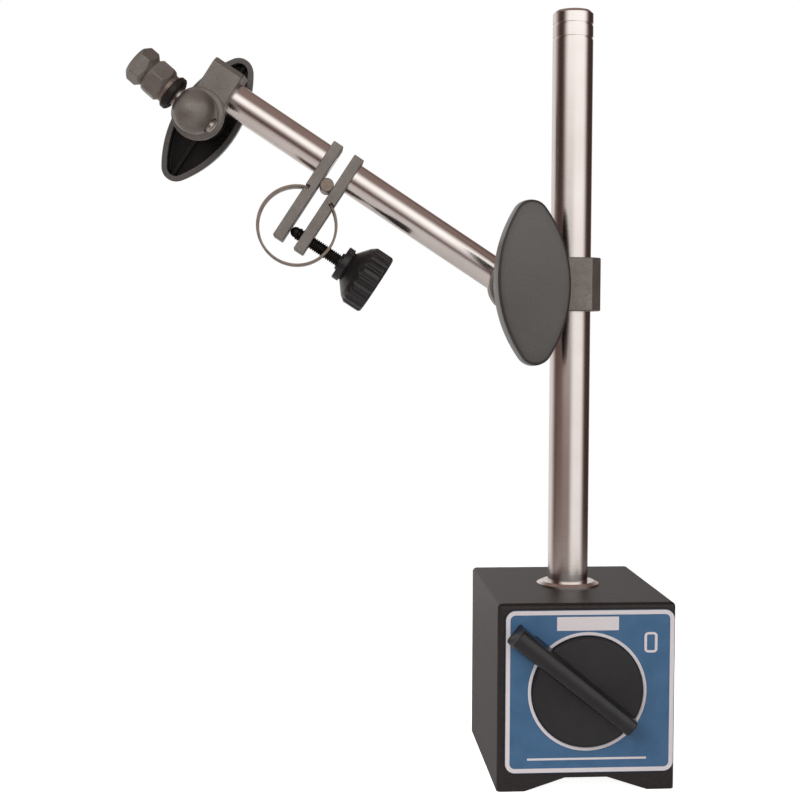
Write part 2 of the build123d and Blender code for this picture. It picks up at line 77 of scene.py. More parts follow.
def joint(name):
    """The record's entry for one joint."""
    return next(j for j in frame["joints"] if j["name"] == name)


def at(name):
    """A joint's point, in mm."""
    return np.array(joint(name)["pos_m"], float) / MM


def upright(origin, z, toward):
    """A place: its origin in mm, Z along z, X the part of toward square to Z, and Y = Z cross X."""
    z = unit(z)
    x = unit(toward - np.dot(toward, z) * z)
    return np.asarray(origin, float), np.array([x, np.cross(z, x), z])


def turned(place, degrees):
    """The same place turned about its own Z."""
    origin, axes = place
    c, s = math.cos(math.radians(degrees)), math.sin(math.radians(degrees))
    return origin, np.array([[c, s, 0.0], [-s, c, 0.0], [0.0, 0.0, 1.0]]) @ axes


def put(points, place):
    """Own coordinates to the frame: origin plus each coordinate along its axis."""
    origin, axes = place
    return origin + points @ axes


def own_points(node, place):
    """The points of a CAD node, in mm, along a place's own axes."""
    mesh = frame["nodes"][node].data
    points = np.empty(len(mesh.vertices) * 3, np.float32)
    mesh.vertices.foreach_get("co", points)
    origin, axes = place
    return (points.reshape(-1, 3) / MM - origin) @ axes.T


def extent(node, place):
    """Lowest and highest corner of a CAD node, in mm, along a place's own axes."""
    own = own_points(node, place)
    return own.min(0), own.max(0)


def beside(point_joint, line_joint):
    """From the line of one joint's axis to the point of another, square to that axis."""
    step = at(point_joint) - at(line_joint)
    axis = unit(joint(line_joint)["axis"])
    return step - np.dot(step, axis) * axis


SWITCH = upright(at("switch_turn"), -np.array(joint("switch_turn")["axis"], float), np.array([1.0, 0, 0]))
POST_KNOB = upright(
    at("post_knob_turn"), joint("post_knob_turn")["axis"], beside("post_knob_turn", "post_turn"),
)
END_KNOB = upright(
    at("end_knob_turn"), joint("end_knob_turn")["axis"], beside("end_knob_turn", "outer_rod_turn"),
)
ARM = upright(at("thumb_turn"), joint("fine_advance")["axis"], at("thumb_turn") - at("fine_tilt"))
STUD = upright(at("lug_nut_turn"), joint("lug_nut_turn")["axis"], np.array([0.0, -1.0, 0.0]))


# ---------------------------------------------------------------- surfaces

def rounded(corners, steps=5):
    """A profile whose (across, up, radius) corners become arcs tangent to both their runs."""
    points = np.array([corner[:2] for corner in corners], float)
    runs = []
    for i, (x, y, radius) in enumerate(corners):
        if radius <= 0:
            runs.append(points[i:i + 1])
            continue
        before, after = unit(points[i - 1] - points[i]), unit(points[i + 1] - points[i])
        half = 0.5 * math.acos(float(np.clip(before @ after, -1, 1)))
        centre = points[i] + unit(before + after) * radius / math.sin(half)
        start = points[i] + before * radius / math.tan(half) - centre
        end = points[i] + after * radius / math.tan(half) - centre
        first, last = math.atan2(start[1], start[0]), math.atan2(end[1], end[0])
        sweep = (last - first + math.pi) % (2 * math.pi) - math.pi
        angle = first + sweep * np.linspace(0, 1, steps + 1)
        runs.append(centre + radius * np.stack([np.cos(angle), np.sin(angle)], -1))
    return np.vstack(runs)


def lathe(profile, columns=96):
    """A turned surface: each (radius, height) of the profile is swept once round Z."""
    angle = np.linspace(0, 2 * math.pi, columns, endpoint=False)
    radius, height = profile[:, :1], profile[:, 1:]
    return np.stack([radius * np.cos(angle), radius * np.sin(angle), height + 0 * angle], -1)


def outline(arcs, between=0):
    """A convex outline as centre, radius and outward normal's angle of each of its points.

    An arc is (centre x, centre y, radius, first angle, last angle, steps), in degrees. Its points are
    centre plus radius times (cos, sin) of the angle, and each straight run between arcs may hold points.
    """
    centres, radii, angles = [], [], []
    for i, (x, y, radius, first, last, steps) in enumerate(arcs):
        following = arcs[(i + 1) % len(arcs)]
        turn = np.radians(np.linspace(first, last, steps + 1))
        share = (np.arange(between) + 1) / (between + 1)
        run = (1 - share)[:, None] * np.array([x, y]) + share[:, None] * np.array(following[:2])
        centres.append(np.vstack([np.tile([x, y], (steps + 1, 1)), run]))
        radii.append(np.concatenate([np.full(steps + 1, radius), radius + share * (following[2] - radius)]))
        angles.append(np.concatenate([turn, np.full(between, turn[-1])]))
    return np.vstack(centres), np.concatenate(radii), np.concatenate(angles)


def ring_of(shape, inset=0.0):
    """An outline's points, drawn in by inset along their normals."""
    centre, radius, angle = shape
    return centre + (radius - inset)[:, None] * np.stack([np.cos(angle), np.sin(angle)], -1)


def moulded(shape, rows, crown=None):
    """Rings of one outline: drawn in by inset, scaled in X and Y, and lifted to a height.

    A row is (inset, X scale, Y scale, height, share of crown); crown gives a height at each X, Y.
    """
    inset, across, along, height, share = np.array(rows, float).T[..., None]
    centre, radius, angle = shape
    normal = np.stack([np.cos(angle), np.sin(angle)], -1)
    flat = centre + (radius - inset)[..., None] * normal
    flat = flat * np.stack([across, along], -1)
    lift = height + (share * crown(flat[..., 0], flat[..., 1]) if crown else 0 * flat[..., 0])
    return np.concatenate([flat, lift[..., None]], -1)


def box_outline(half_x, half_y, radius, steps=4, between=0):
    """A rectangle with round corners, as an outline."""
    x, y = half_x - radius, half_y - radius
    return outline([
        (x, y, radius, 0, 90, steps), (-x, y, radius, 90, 180, steps),
        (-x, -y, radius, 180, 270, steps), (x, -y, radius, 270, 360, steps),
    ], between)


def slab(shape, low, high, edge=0.1):
    """A flat plate of one outline with small round edges, closed at both its middles."""
    turn = np.linspace(0, math.pi / 2, 4)
    under = [(edge * (1 - math.sin(a)), 1, 1, low + edge * (1 - math.cos(a)), 0) for a in turn]
    over = [(edge * (1 - math.cos(a)), 1, 1, high - edge * (1 - math.sin(a)), 0) for a in turn]
    return moulded(shape, [(edge, 0, 0, low, 0), *under, *over, (edge, 0, 0, high, 0)])


def band(shape, outer_inset, inner_inset, low, high):
    """A flat band between two insets of one outline."""
    return moulded(shape, [
        (outer_inset, 1, 1, low, 0), (outer_inset, 1, 1, high, 0),
        (inner_inset, 1, 1, high, 0), (inner_inset, 1, 1, low, 0), (outer_inset, 1, 1, low, 0),
    ])


def threaded(profile, pitch, depth, low, high, columns=40):
    """A turned surface with a helical thread from low to high.

    The radius falls by depth times half of one minus the cosine of the turn plus height over pitch,
    sharpened at the crest, and the thread runs out over one pitch at both ends.
    """
    steps = int(math.ceil((high - low) / pitch * 12))
    height = np.linspace(low, high, steps)
    below, above = profile[profile[:, 1] < low], profile[profile[:, 1] > high]
    radius = np.interp(height, profile[:, 1], profile[:, 0])
    dense = np.vstack([below, np.stack([radius, height], -1), above])
    points = lathe(dense, columns)
    angle = np.linspace(0, 2 * math.pi, columns, endpoint=False)
    wave = 0.5 - 0.5 * np.cos(2 * math.pi * dense[:, 1:] / pitch - angle)
    fade = np.clip(np.minimum(dense[:, 1:] - low, high - dense[:, 1:]) / pitch, 0, 1)
    scale = 1 - fade * depth * wave ** 1.3 / np.maximum(dense[:, :1], 1e-6)
    points[..., :2] *= scale[..., None]
    return points


def skin(name, sheets, place, values=None):
    """One mesh from grids that each close round their columns; equal points are merged."""
    points, faces, start = [], [], 0
    for grid in sheets:
        rows, columns = grid.shape[:2]
        i, j = np.arange(rows - 1)[:, None], np.arange(columns)[None, :]
        right = (j + 1) % columns
        quads = np.stack([
            i * columns + j, i * columns + right, (i + 1) * columns + right, (i + 1) * columns + j,
        ], -1)
        points.append(grid.reshape(-1, 3))
        faces.append(quads.reshape(-1, 4) + start)
        start += rows * columns
    mesh = bpy.data.meshes.new(name)
    mesh.from_pydata(put(np.vstack(points), place) * MM, [], np.vstack(faces))
    # Per point values for the oval knobs' erosion texture and their painted shade.
    if values is not None:
        written = mesh.attributes.new("erosion_and_painted_shade", "FLOAT", "POINT")
        written.data.foreach_set("value", np.concatenate(values).astype(np.float32))
    work = bmesh.new()
    work.from_mesh(mesh)
    bmesh.ops.remove_doubles(work, verts=work.verts, dist=1e-7)
    bmesh.ops.recalc_face_normals(work, faces=work.faces)
    work.to_mesh(mesh)
    work.free()
    return mesh


def add_piece(name, mesh, body, material, stands_for=(), crease=35.0):
    """Shows a mesh as a piece of the object: its finish, its body and the CAD nodes it stands for."""
    mesh.shade_smooth()
    mesh.set_sharp_from_angle(angle=math.radians(crease))
    mesh.materials.clear()
    mesh.materials.append(finish(material))
    shown = bpy.data.objects.new(name, mesh)
    bpy.context.scene.collection.objects.link(shown)
    even = shown.modifiers.new("even_faces", "WEIGHTED_NORMAL")
    even.keep_sharp = True
    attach(shown, body)
    if stands_for:
        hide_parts(*stands_for)
    return shown


def dress(material, *nodes):
    """Gives CAD nodes a finish, in place of the plain colour they came with."""
    for name in nodes:
        for slot in frame["nodes"][name].material_slots:
            slot.material = finish(material)


# ---------------------------------------------------------------- finishes

def linear(code):
    """An sRGB hex colour as linear red, green, blue and alpha."""
    part = np.array([int(code[i:i + 2], 16) for i in (0, 2, 4)]) / 255.0
    made = np.where(part <= 0.04045, part / 12.92, ((part + 0.055) / 1.055) ** 2.4)
    return (*made.tolist(), 1.0)


def per_mm(size):
    """The texture scale that gives a pattern one feature for each size in mm."""
    return 1.0 / (size * MM)


def feed(tree, node, inputs):
    """Sets a node's inputs, by name or number: a node or socket is linked, anything else is a value."""
    for key, value in inputs.items():
        if isinstance(key, int):
            entry = node.inputs[key]
        else:
            entry = next(socket for socket in node.inputs if socket.enabled and socket.name == key)
        if isinstance(value, bpy.types.Node):
            value = next(socket for socket in value.outputs if socket.enabled)
        if isinstance(value, bpy.types.NodeSocket):
            tree.links.new(value, entry)
        else:
            entry.default_value = value


def add(tree, kind, inputs=None, **settings):
    """Adds a node with its settings, and feeds its inputs."""
    node = tree.nodes.new("ShaderNode" + kind)
    for name, value in settings.items():
        setattr(node, name, value)
    feed(tree, node, inputs or {})
    return node


def grains(tree, where, size, low=0.0, high=1.0, detail=2.0):
    """Cloudy noise with features of one size in mm, spread from low to high."""
    noise = add(tree, "TexNoise", {"Vector": where, "Scale": per_mm(size), "Detail": detail})
    return add(tree, "MapRange", {
        "Value": noise, "From Min": 0.3, "From Max": 0.7, "To Min": low, "To Max": high,
    })


def facing(tree, axis):
    """How far the surface faces along an axis of the object, from minus one to one."""
    normal = add(tree, "TexCoord").outputs["Normal"]
    return add(tree, "VectorMath", {0: normal, 1: axis}, operation="DOT_PRODUCT")


def wrinkle_enamel(tree, shader, where):
    """Stoved wrinkle enamel on steel: near black with a fine leathery relief that goes pale at a low
    angle, and bare ground steel under the feet and in the groove."""
    look = bpy.context.scene.magbase_finishes
    ground = extent("pole_block_left", SWITCH)[0][1] + SWITCH[0][2]
    level = add(tree, "SeparateXYZ", {"Vector": where}).outputs["Z"]
    down = add(tree, "MapRange", {
        "Value": facing(tree, (0, 0, -1)), "From Min": 0.25, "From Max": 0.45,
    }, interpolation_type="SMOOTHSTEP")
    near = add(tree, "MapRange", {
        "Value": level, "From Min": (ground + 4.6) * MM, "From Max": (ground + 4.2) * MM,
    }, interpolation_type="SMOOTHSTEP")
    bare = add(tree, "Math", {0: down, 1: near}, operation="MULTIPLY")
    painted = add(tree, "Math", {0: 1.0, 1: bare}, operation="SUBTRACT")

    cells = add(tree, "TexVoronoi", {"Vector": where, "Scale": per_mm(0.9), "Randomness": 1.0},
                feature="SMOOTH_F1")
    cloud = grains(tree, where, 1.3, detail=3.0)
    wrinkle = add(tree, "Math", {0: cells, 1: cloud}, operation="MULTIPLY")
    coat = add(tree, "Mix", {
        "Factor": grains(tree, where, 7.0), "A": (*look.enamel, 1.0), "B": linear("1c1614"),
    }, data_type="RGBA")
    crest = add(tree, "MapRange", {
        "Value": wrinkle, "From Min": 0.35, "From Max": 0.0,
    }, interpolation_type="SMOOTHSTEP")
    coat = add(tree, "Mix", {"Factor": crest, "A": coat, "B": linear("221b1a")}, data_type="RGBA")

    lines = add(tree, "TexWave", {
        "Vector": where, "Scale": per_mm(2.2), "Distortion": 6.0, "Detail": 4.0,
    }, bands_direction="Y").outputs["Fac"]
    steel = add(tree, "Mix", {
        "Factor": lines, "A": linear("8f8a85"), "B": linear("b4aea8"),
    }, data_type="RGBA")
    height = add(tree, "Math", {0: wrinkle, 1: painted}, operation="MULTIPLY")
    feed(tree, shader, {
        "Base Color": add(tree, "Mix", {"Factor": bare, "A": coat, "B": steel}, data_type="RGBA"),
        "Metallic": bare,
        "Roughness": add(tree, "MapRange", {"Value": bare, "To Min": 0.46, "To Max": 0.32}),
        "Specular IOR Level": 0.5,
        "Normal": add(tree, "Bump", {"Height": height, "Distance": 0.16 * MM, "Strength": 0.8}),
    })


def rolled_brass(tree, shader, where):
    """Brass strip and turned bush: warm metal with long fine drawing lines."""
    along = add(tree, "Mapping", {"Vector": where, "Scale": (1.0, 0.06, 1.0)})
    lines = grains(tree, along, 0.35)
    feed(tree, shader, {
        "Base Color": add(tree, "Mix", {
            "Factor": lines, "A": linear("a8854a"), "B": linear("c9a765"),
        }, data_type="RGBA"),
        "Metallic": 1.0,
        "Roughness": add(tree, "MapRange", {"Value": lines, "To Min": 0.28, "To Max": 0.42}),
        "Normal": add(tree, "Bump", {"Height": lines, "Distance": 0.01 * MM, "Strength": 1.0}),
    })


def printed_plate(tree, shader, where):
    """Aluminium plate screen printed in blue on its face: a satin ink film, and bare metal edges."""
    look = bpy.context.scene.magbase_print
    ink = add(tree, "MapRange", {
        "Value": facing(tree, (0, -1, 0)), "From Min": 0.7, "From Max": 0.9,
    }, interpolation_type="SMOOTHSTEP")
    film = add(tree, "Mix", {
        "Factor": grains(tree, where, 5.0), "A": (*look.ink, 1.0), "B": linear("467097"),
    }, data_type="RGBA")
    mesh = grains(tree, where, 0.35)
    film = add(tree, "Mix", {
        "Factor": add(tree, "Math", {0: mesh, 1: 0.18}, operation="MULTIPLY"),
        "A": film, "B": linear("3d6489"),
    }, data_type="RGBA")
    feed(tree, shader, {
        "Base Color": add(tree, "Mix", {"Factor": ink, "A": linear("b9b6b2"), "B": film}, data_type="RGBA"),
        "Metallic": add(tree, "Math", {0: 1.0, 1: ink}, operation="SUBTRACT"),
        "Roughness": grains(tree, where, 2.0, 0.40, 0.52),
        "Specular IOR Level": 0.4,
        "Normal": add(tree, "Bump", {"Height": mesh, "Distance": 0.012 * MM, "Strength": 1.0}),
    })


def white_ink(tree, shader, where):
    """Screen printed white: slightly pink, satin, with a faint mesh in the film."""
    mesh = grains(tree, where, 0.3)
    feed(tree, shader, {
        "Base Color": add(tree, "Mix", {
            "Factor": mesh, "A": linear("f4ebee"), "B": linear("faf3f5"),
        }, data_type="RGBA"),
        "Roughness": grains(tree, where, 1.5, 0.42, 0.55),
        "Normal": add(tree, "Bump", {"Height": mesh, "Distance": 0.006 * MM, "Strength": 1.0}),
    })


def moulded_phenolic(tree, shader, where):
    """Black phenolic of the switch and thumb knobs. The switch's disc keeps the fine turned rings of its
    mould, which spread its sheen outwards from the middle, and the rest is a little smoother."""
    look = bpy.context.scene.magbase_finishes
    origin = SWITCH[0] * MM
    centred = add(tree, "Mapping", {"Vector": where, "Location": tuple(-origin), "Scale": (1.0, 0.0, 1.0)})
    outward = add(tree, "VectorMath", {0: centred}, operation="NORMALIZE")
    outward = add(tree, "VectorTransform", {"Vector": outward}, vector_type="VECTOR",
                  convert_from="OBJECT", convert_to="WORLD")
    place = add(tree, "SeparateXYZ", {"Vector": where})
    disc_front = -(extent("nameplate", SWITCH)[1][2] + 1.4) * MM
    behind = add(tree, "MapRange", {
        "Value": place.outputs["Y"], "From Min": disc_front - 0.3 * MM, "From Max": disc_front,
    }, interpolation_type="SMOOTHSTEP")
    beside_switch = add(tree, "MapRange", {
        "Value": place.outputs["Z"], "From Min": origin[2] + 30 * MM, "From Max": origin[2] + 25 * MM,
    }, interpolation_type="SMOOTHSTEP")
    disc = add(tree, "Math", {0: behind, 1: beside_switch}, operation="MULTIPLY")
    feed(tree, shader, {
        "Base Color": add(tree, "Mix", {
            "Factor": grains(tree, where, 3.0), "A": (*look.phenolic, 1.0), "B": linear("1d1b1c"),
        }, data_type="RGBA"),
        "Roughness": add(tree, "MapRange", {"Value": disc, "To Min": 0.3, "To Max": 0.46}),
        "Specular IOR Level": 0.55,
        "Anisotropic": add(tree, "Math", {0: disc, 1: 0.85}, operation="MULTIPLY"),
        "Tangent": outward,
        "Normal": add(tree, "Bump", {
            "Height": grains(tree, where, 0.4), "Distance": 0.006 * MM, "Strength": 1.0,
        }),
    })


def moulded_nylon(tree, shader, where):
    """Glass filled nylon of the oval knobs: satin, grey where the face carries its spark erosion texture, and
    near black, as painted shade, on the round edge, down the wall and in the cavity."""
    look = bpy.context.scene.magbase_finishes
    # Share of the erosion texture on each ring: lower on the round edge and wall and none in the cavity,
    # where the near black and low specular are painted shade.
    erosion_and_shade = add(tree, "Attribute", attribute_name="erosion_and_painted_shade").outputs["Fac"]
    pits = grains(tree, where, 0.45, detail=4.0)
    face = add(tree, "Mix", {
        "Factor": pits, "A": (*look.nylon_face, 1.0), "B": linear("5a5551"),
    }, data_type="RGBA")
    face = add(tree, "Mix", {
        "Factor": grains(tree, where, 9.0, 0.0, 0.35), "A": face, "B": linear("474344"),
    }, data_type="RGBA")
    # Near black of the round edge, the wall and the cavity: painted shade.
    body = add(tree, "Mix", {"Factor": pits, "A": linear("1a1717"), "B": linear("262222")}, data_type="RGBA")
    depth = add(tree, "Math", {0: pits, 1: erosion_and_shade}, operation="MULTIPLY")
    feed(tree, shader, {
        "Base Color": add(tree, "Mix", {"Factor": erosion_and_shade, "A": body, "B": face}, data_type="RGBA"),
        "Roughness": 0.33,
        "Specular IOR Level": add(tree, "MapRange", {"Value": erosion_and_shade, "To Min": 0.2, "To Max": 0.85}),
        "Normal": add(tree, "Bump", {"Height": depth, "Distance": 0.04 * MM, "Strength": 0.5}),
    })


def clamp_coating(tree, shader, where):
    """Phosphated and oiled steel of the clamps, bars and nuts: matt brown grey with a sandy grain and
    slightly darker oil clouds."""
    look = bpy.context.scene.magbase_finishes
    sand = grains(tree, where, 0.35, detail=4.0)
    coat = add(tree, "Mix", {
        "Factor": sand, "A": (*look.coating, 1.0), "B": linear("9b938d"),
    }, data_type="RGBA")
    feed(tree, shader, {
        "Base Color": add(tree, "Mix", {
            "Factor": grains(tree, where, 6.0, 0.0, 0.4), "A": coat, "B": linear("6a6460"),
        }, data_type="RGBA"),
        "Metallic": 0.6,
        "Roughness": grains(tree, where, 1.2, 0.36, 0.5),
        "Specular IOR Level": 0.5,
        "Normal": add(tree, "Bump", {"Height": sand, "Distance": 0.03 * MM, "Strength": 0.6}),
    })


def chrome(tree, shader, where, axis):
    """Hard chrome on ground steel: a warm mirror, softened by grinding rings round the rod."""
    look = bpy.context.scene.magbase_finishes
    level = add(tree, "VectorMath", {0: where, 1: tuple(axis)}, operation="DOT_PRODUCT")
    rings = grains(tree, add(tree, "CombineXYZ", {"X": level}), 0.4, detail=3.0)
    feed(tree, shader, {
        "Base Color": add(tree, "Mix", {
            "Factor": grains(tree, where, 14.0), "A": (*look.chrome, 1.0), "B": linear("efe8e5"),
        }, data_type="RGBA"),
        "Metallic": 1.0,
        "Roughness": add(tree, "Math", {0: rings, 1: 0.06, 2: 0.17}, operation="MULTIPLY_ADD"),
        "Normal": add(tree, "Bump", {"Height": rings, "Distance": 0.004 * MM, "Strength": 1.0}),
    })


def post_chrome(tree, shader, where):
    """Hard chrome on the upright post, its rings level."""
    chrome(tree, shader, where, unit(joint("post_turn")["axis"]))


def arm_chrome(tree, shader, where):
    """Hard chrome on the arm's rods, its rings square to the arm."""
    chrome(tree, shader, where, unit(joint("fine_advance")["axis"]))


def bright_steel(tree, shader, where):
    """Turned bright steel: greyer than chrome, with visible tool lines and a little tarnish."""
    spots = grains(tree, where, 1.6, detail=4.0)
    feed(tree, shader, {
        "Base Color": add(tree, "Mix", {
            "Factor": spots, "A": linear("a59c94"), "B": linear("c9c1ba"),
        }, data_type="RGBA"),
        "Metallic": 1.0,
        "Roughness": add(tree, "MapRange", {"Value": spots, "To Min": 0.24, "To Max": 0.38}),
        "Normal": add(tree, "Bump", {
            "Height": grains(tree, where, 0.4), "Distance": 0.01 * MM, "Strength": 1.0,
        }),
    })


def black_oxide(tree, shader, where):
    """Blackened steel of the screws and bolts: dark, satin, faintly brown where the oil has dried."""
    dry = grains(tree, where, 1.1, detail=3.0)
    feed(tree, shader, {
        "Base Color": add(tree, "Mix", {
            "Factor": dry, "A": linear("1b1817"), "B": linear("302a27"),
        }, data_type="RGBA"),
        "Metallic": 0.4,
        "Roughness": add(tree, "MapRange", {"Value": dry, "To Min": 0.32, "To Max": 0.5}),
        "Normal": add(tree, "Bump", {"Height": dry, "Distance": 0.01 * MM, "Strength": 1.0}),
    })


def spring_steel(tree, shader, where):
    """Tempered spring strip: brown grey oxide with a dull sheen and faint rolling lines."""
    rolled = add(tree, "Mapping", {"Vector": where, "Scale": (1.0, 8.0, 1.0)})
    lines = grains(tree, rolled, 2.5)
    feed(tree, shader, {
        "Base Color": add(tree, "Mix", {
            "Factor": lines, "A": linear("85776e"), "B": linear("9c8d83"),
        }, data_type="RGBA"),
        "Metallic": 0.75,
        "Roughness": add(tree, "MapRange", {"Value": lines, "To Min": 0.34, "To Max": 0.48}),
        "Normal": add(tree, "Bump", {"Height": lines, "Distance": 0.008 * MM, "Strength": 1.0}),
    })


def sintered_ferrite(tree, shader, where):
    """Sintered ferrite magnet: dark grey, dense and slightly grainy."""
    grit = grains(tree, where, 0.5, detail=4.0)
    feed(tree, shader, {
        "Base Color": add(tree, "Mix", {
            "Factor": grit, "A": linear("2b2a2b"), "B": linear("3e3c3d"),
        }, data_type="RGBA"),
        "Roughness": add(tree, "MapRange", {"Value": grit, "To Min": 0.6, "To Max": 0.75}),
        "Normal": add(tree, "Bump", {"Height": grit, "Distance": 0.03 * MM, "Strength": 1.0}),
    })


def cover_plastic(tree, shader, where):
    """Injection moulded black cover: even satin with a fine erosion texture."""
    grit = grains(tree, where, 0.4, detail=3.0)
    feed(tree, shader, {
        "Base Color": add(tree, "Mix", {
            "Factor": grit, "A": linear("1d1c1d"), "B": linear("2a2829"),
        }, data_type="RGBA"),
        "Roughness": add(tree, "MapRange", {"Value": grit, "To Min": 0.42, "To Max": 0.55}),
        "Normal": add(tree, "Bump", {"Height": grit, "Distance": 0.02 * MM, "Strength": 1.0}),
    })


FINISHES = {
    "stoved_wrinkle_enamel": wrinkle_enamel,
    "rolled_brass": rolled_brass,
    "screen_printed_aluminium": printed_plate,
    "screen_printed_white_ink": white_ink,
    "moulded_black_phenolic": moulded_phenolic,
    "moulded_glass_filled_nylon": moulded_nylon,
    "phosphated_oiled_steel": clamp_coating,
    "hard_chromed_post": post_chrome,
    "hard_chromed_arm_rod": arm_chrome,
    "turned_bright_steel": bright_steel,
    "blackened_steel": black_oxide,
    "tempered_spring_strip": spring_steel,
    "sintered_ferrite": sintered_ferrite,
    "moulded_cover_plastic": cover_plastic,
}


def finish(name):
    """The named material, made the first time it is asked for."""
    found = bpy.data.materials.get(name)
    if found is None:
        found = bpy.data.materials.new(name)
        found.use_nodes = True
        tree = found.node_tree
        tree.nodes.clear()
        shader = add(tree, "BsdfPrincipled")
        add(tree, "OutputMaterial", {"Surface": shader})
        FINISHES[name](tree, shader, add(tree, "TexCoord").outputs["Object"])
    return found


# ---------------------------------------------------------------- settings

def mm_property(name, description, default):
    """A length property whose default is given in mm."""
    return FloatProperty(name=name, description=description, default=default * MM,
                         min=0.0, precision=5, unit="LENGTH")


def colour_property(name, description, code):
    """A colour property whose default is an sRGB hex value."""
    return FloatVectorProperty(name=name, description=description, default=linear(code)[:3],
                               min=0.0, max=1.0, size=3, subtype="COLOR")


class MAGBASE_PG_finishes(bpy.types.PropertyGroup):
    """Main colours of the finishes."""

    enamel: colour_property("Enamel", "Stoved enamel of the base block", "181211")
    coating: colour_property("Coating", "Phosphate coating of the clamps and bars", "847d76")
    chrome: colour_property("Chrome", "Hard chrome of the post and rods", "e8dfdb")
    phenolic: colour_property("Phenolic", "Switch knob and thumb knob", "161415")
    nylon_face: colour_property("Nylon face", "Textured face of the oval knobs", "4e4a47")


class MAGBASE_PG_print(bpy.types.PropertyGroup):
    """The plate's blue ink and the sizes of its white print."""

    ink: colour_property("Ink", "Ground colour of the plate", "5079a2")
    border: mm_property("Border", "Width of the white line round the plate", 1.2)
    corner: mm_property("Corner", "Radius of the plate's corners", 2.8)
    ring: mm_property("Ring", "Width of the white ring round the knob", 0.85)
    ring_inside: mm_property("Ring inside", "Inner radius of the white ring", 16.05)
    film: mm_property("Film", "Thickness of the white print", 0.04)


class MAGBASE_PG_switch(bpy.types.PropertyGroup):
    """The switch knob's disc and lever."""

    disc: mm_property("Disc", "Thickness of the disc", 2.1)
    tip_half: mm_property("Tip half width", "Half the lever's width at its tip, at the top", 2.75)
    tail_half: mm_property("Tail half width", "Half the lever's width at its tail, at the top", 2.25)
    draft: mm_property("Draft", "How much wider the lever is at its foot, on each side", 0.6)
    ridge: mm_property("Ridge radius", "Radius of the lever's round top", 3.3)
    edge: mm_property("Edge", "Radius along the lever's top edge", 0.35)
    corner: mm_property("Corner", "Radius of the lever's four upright corners", 1.0)
    angle: FloatProperty(name="Angle", description="Lever's direction at rest, from the right",
                         default=math.radians(141.1), subtype="ANGLE", unit="ROTATION")


class MAGBASE_PG_oval(bpy.types.PropertyGroup):
    """The hollow oval clamp knobs."""

    post_tip: mm_property("Post knob tip radius", "Radius of the post clamp knob's two ends", 5.2)
    end_tip: mm_property("End knob tip radius", "Radius of the end clamp knob's two ends", 4.6)
    depth: mm_property("Depth", "Height of the knob's wall", 7.0)
    rise: mm_property("Rise", "How far the face's middle stands above the wall", 0.8)
    crown: mm_property("Crown", "Radius of the sphere that the face follows", 180.0)
    wall: mm_property("Wall", "Thickness of the knob's wall", 1.8)
    plate: mm_property("Plate", "Thickness of the knob's face", 2.4)
    edge: mm_property("Edge", "Radius round the knob's face", 0.95)
    rib: mm_property("Rib", "Thickness of the stiffening ribs", 1.4)
    hub: mm_property("Hub", "Outer radius of the hub", 6.2)
    bore: mm_property("Bore", "Inner radius of the hub, where the insert sits", 4.4)
    draft: FloatProperty(name="Draft", description="Taper of the knob's wall",
                         default=math.radians(3.0), subtype="ANGLE", unit="ROTATION")
    post_lean: FloatProperty(name="Post knob lean", description="Turn of the post clamp's knob at rest",
                             default=math.radians(2.0), subtype="ANGLE", unit="ROTATION")
    end_lean: FloatProperty(name="End knob lean", description="Turn of the end clamp's knob at rest",
                            default=math.radians(91.2), subtype="ANGLE", unit="ROTATION")


class MAGBASE_PG_fine(bpy.types.PropertyGroup):
    """Thumb knob and screw of the fine adjustment."""

    flutes: IntProperty(name="Flutes", description="Flutes round the thumb knob", default=20, min=6, max=60)
    flute_depth: mm_property("Flute depth", "Depth of each flute", 0.55)
    pitch: mm_property("Pitch", "Thread pitch of the thumb screw", 0.7)
    thread_depth: mm_property("Thread depth", "Depth of the screw's thread", 0.38)
    ball: mm_property("Ball", "Radius of the screw's round end", 1.7)
    collar: mm_property("Collar", "Radius of the thumb knob's collar", 5.5)
    neck: mm_property("Neck", "Radius of the thumb knob's neck", 4.4)
    shoulder: mm_property("Shoulder", "Radius at the top of the thumb knob's cone", 8.6)


class MAGBASE_PG_nuts(bpy.types.PropertyGroup):
    """The two hexagon nuts on the indicator stud."""

    flats: mm_property("Across flats", "Distance between two opposite flats", 10.2)
    round_off: mm_property("Round off", "Radius of the six upright corners", 0.5)
    bore: mm_property("Bore", "Radius of the hole", 3.05)
    bevel: mm_property("Bevel", "How far inside the flats the end faces stop", 0.7)
    sink: mm_property("Sink", "Width of the countersink at both ends of the hole", 0.35)


class MAGBASE_PG_stage(bpy.types.PropertyGroup):
    """Camera, lights and floor."""

    camera_at: FloatVectorProperty(
        name="Camera position", description="Where the camera stands",
        default=(-0.0790, -0.4094, 0.1312), size=3, subtype="TRANSLATION", unit="LENGTH")
    camera_turn: FloatVectorProperty(
        name="Camera turn", description="Yaw, pitch and roll of the camera from looking along +Y",
        default=(math.radians(-3.9), math.radians(-3.07), math.radians(-0.2)), size=3, subtype="EULER")
    focal: FloatProperty(name="Focal length", description="Lens of the camera, in mm", default=61.95,
                         min=10.0)
    key: FloatProperty(name="Key power", description="Large light, high in front on the left, in watts",
                       default=9.5, min=0.0)
    fill: FloatProperty(name="Fill power", description="Light from the left, in watts", default=1.5, min=0.0)
    surround: FloatProperty(name="Surround", description="Brightness of the studio's walls",
                            default=0.045, min=0.0)
    matt_share: FloatProperty(name="Matt share", description="Share of the cards' light on matt surfaces",
                              default=0.45, min=0.0, max=1.0)
    floor: colour_property("Floor", "The plain floor", "f4f3f2")


# ---------------------------------------------------------------- pieces

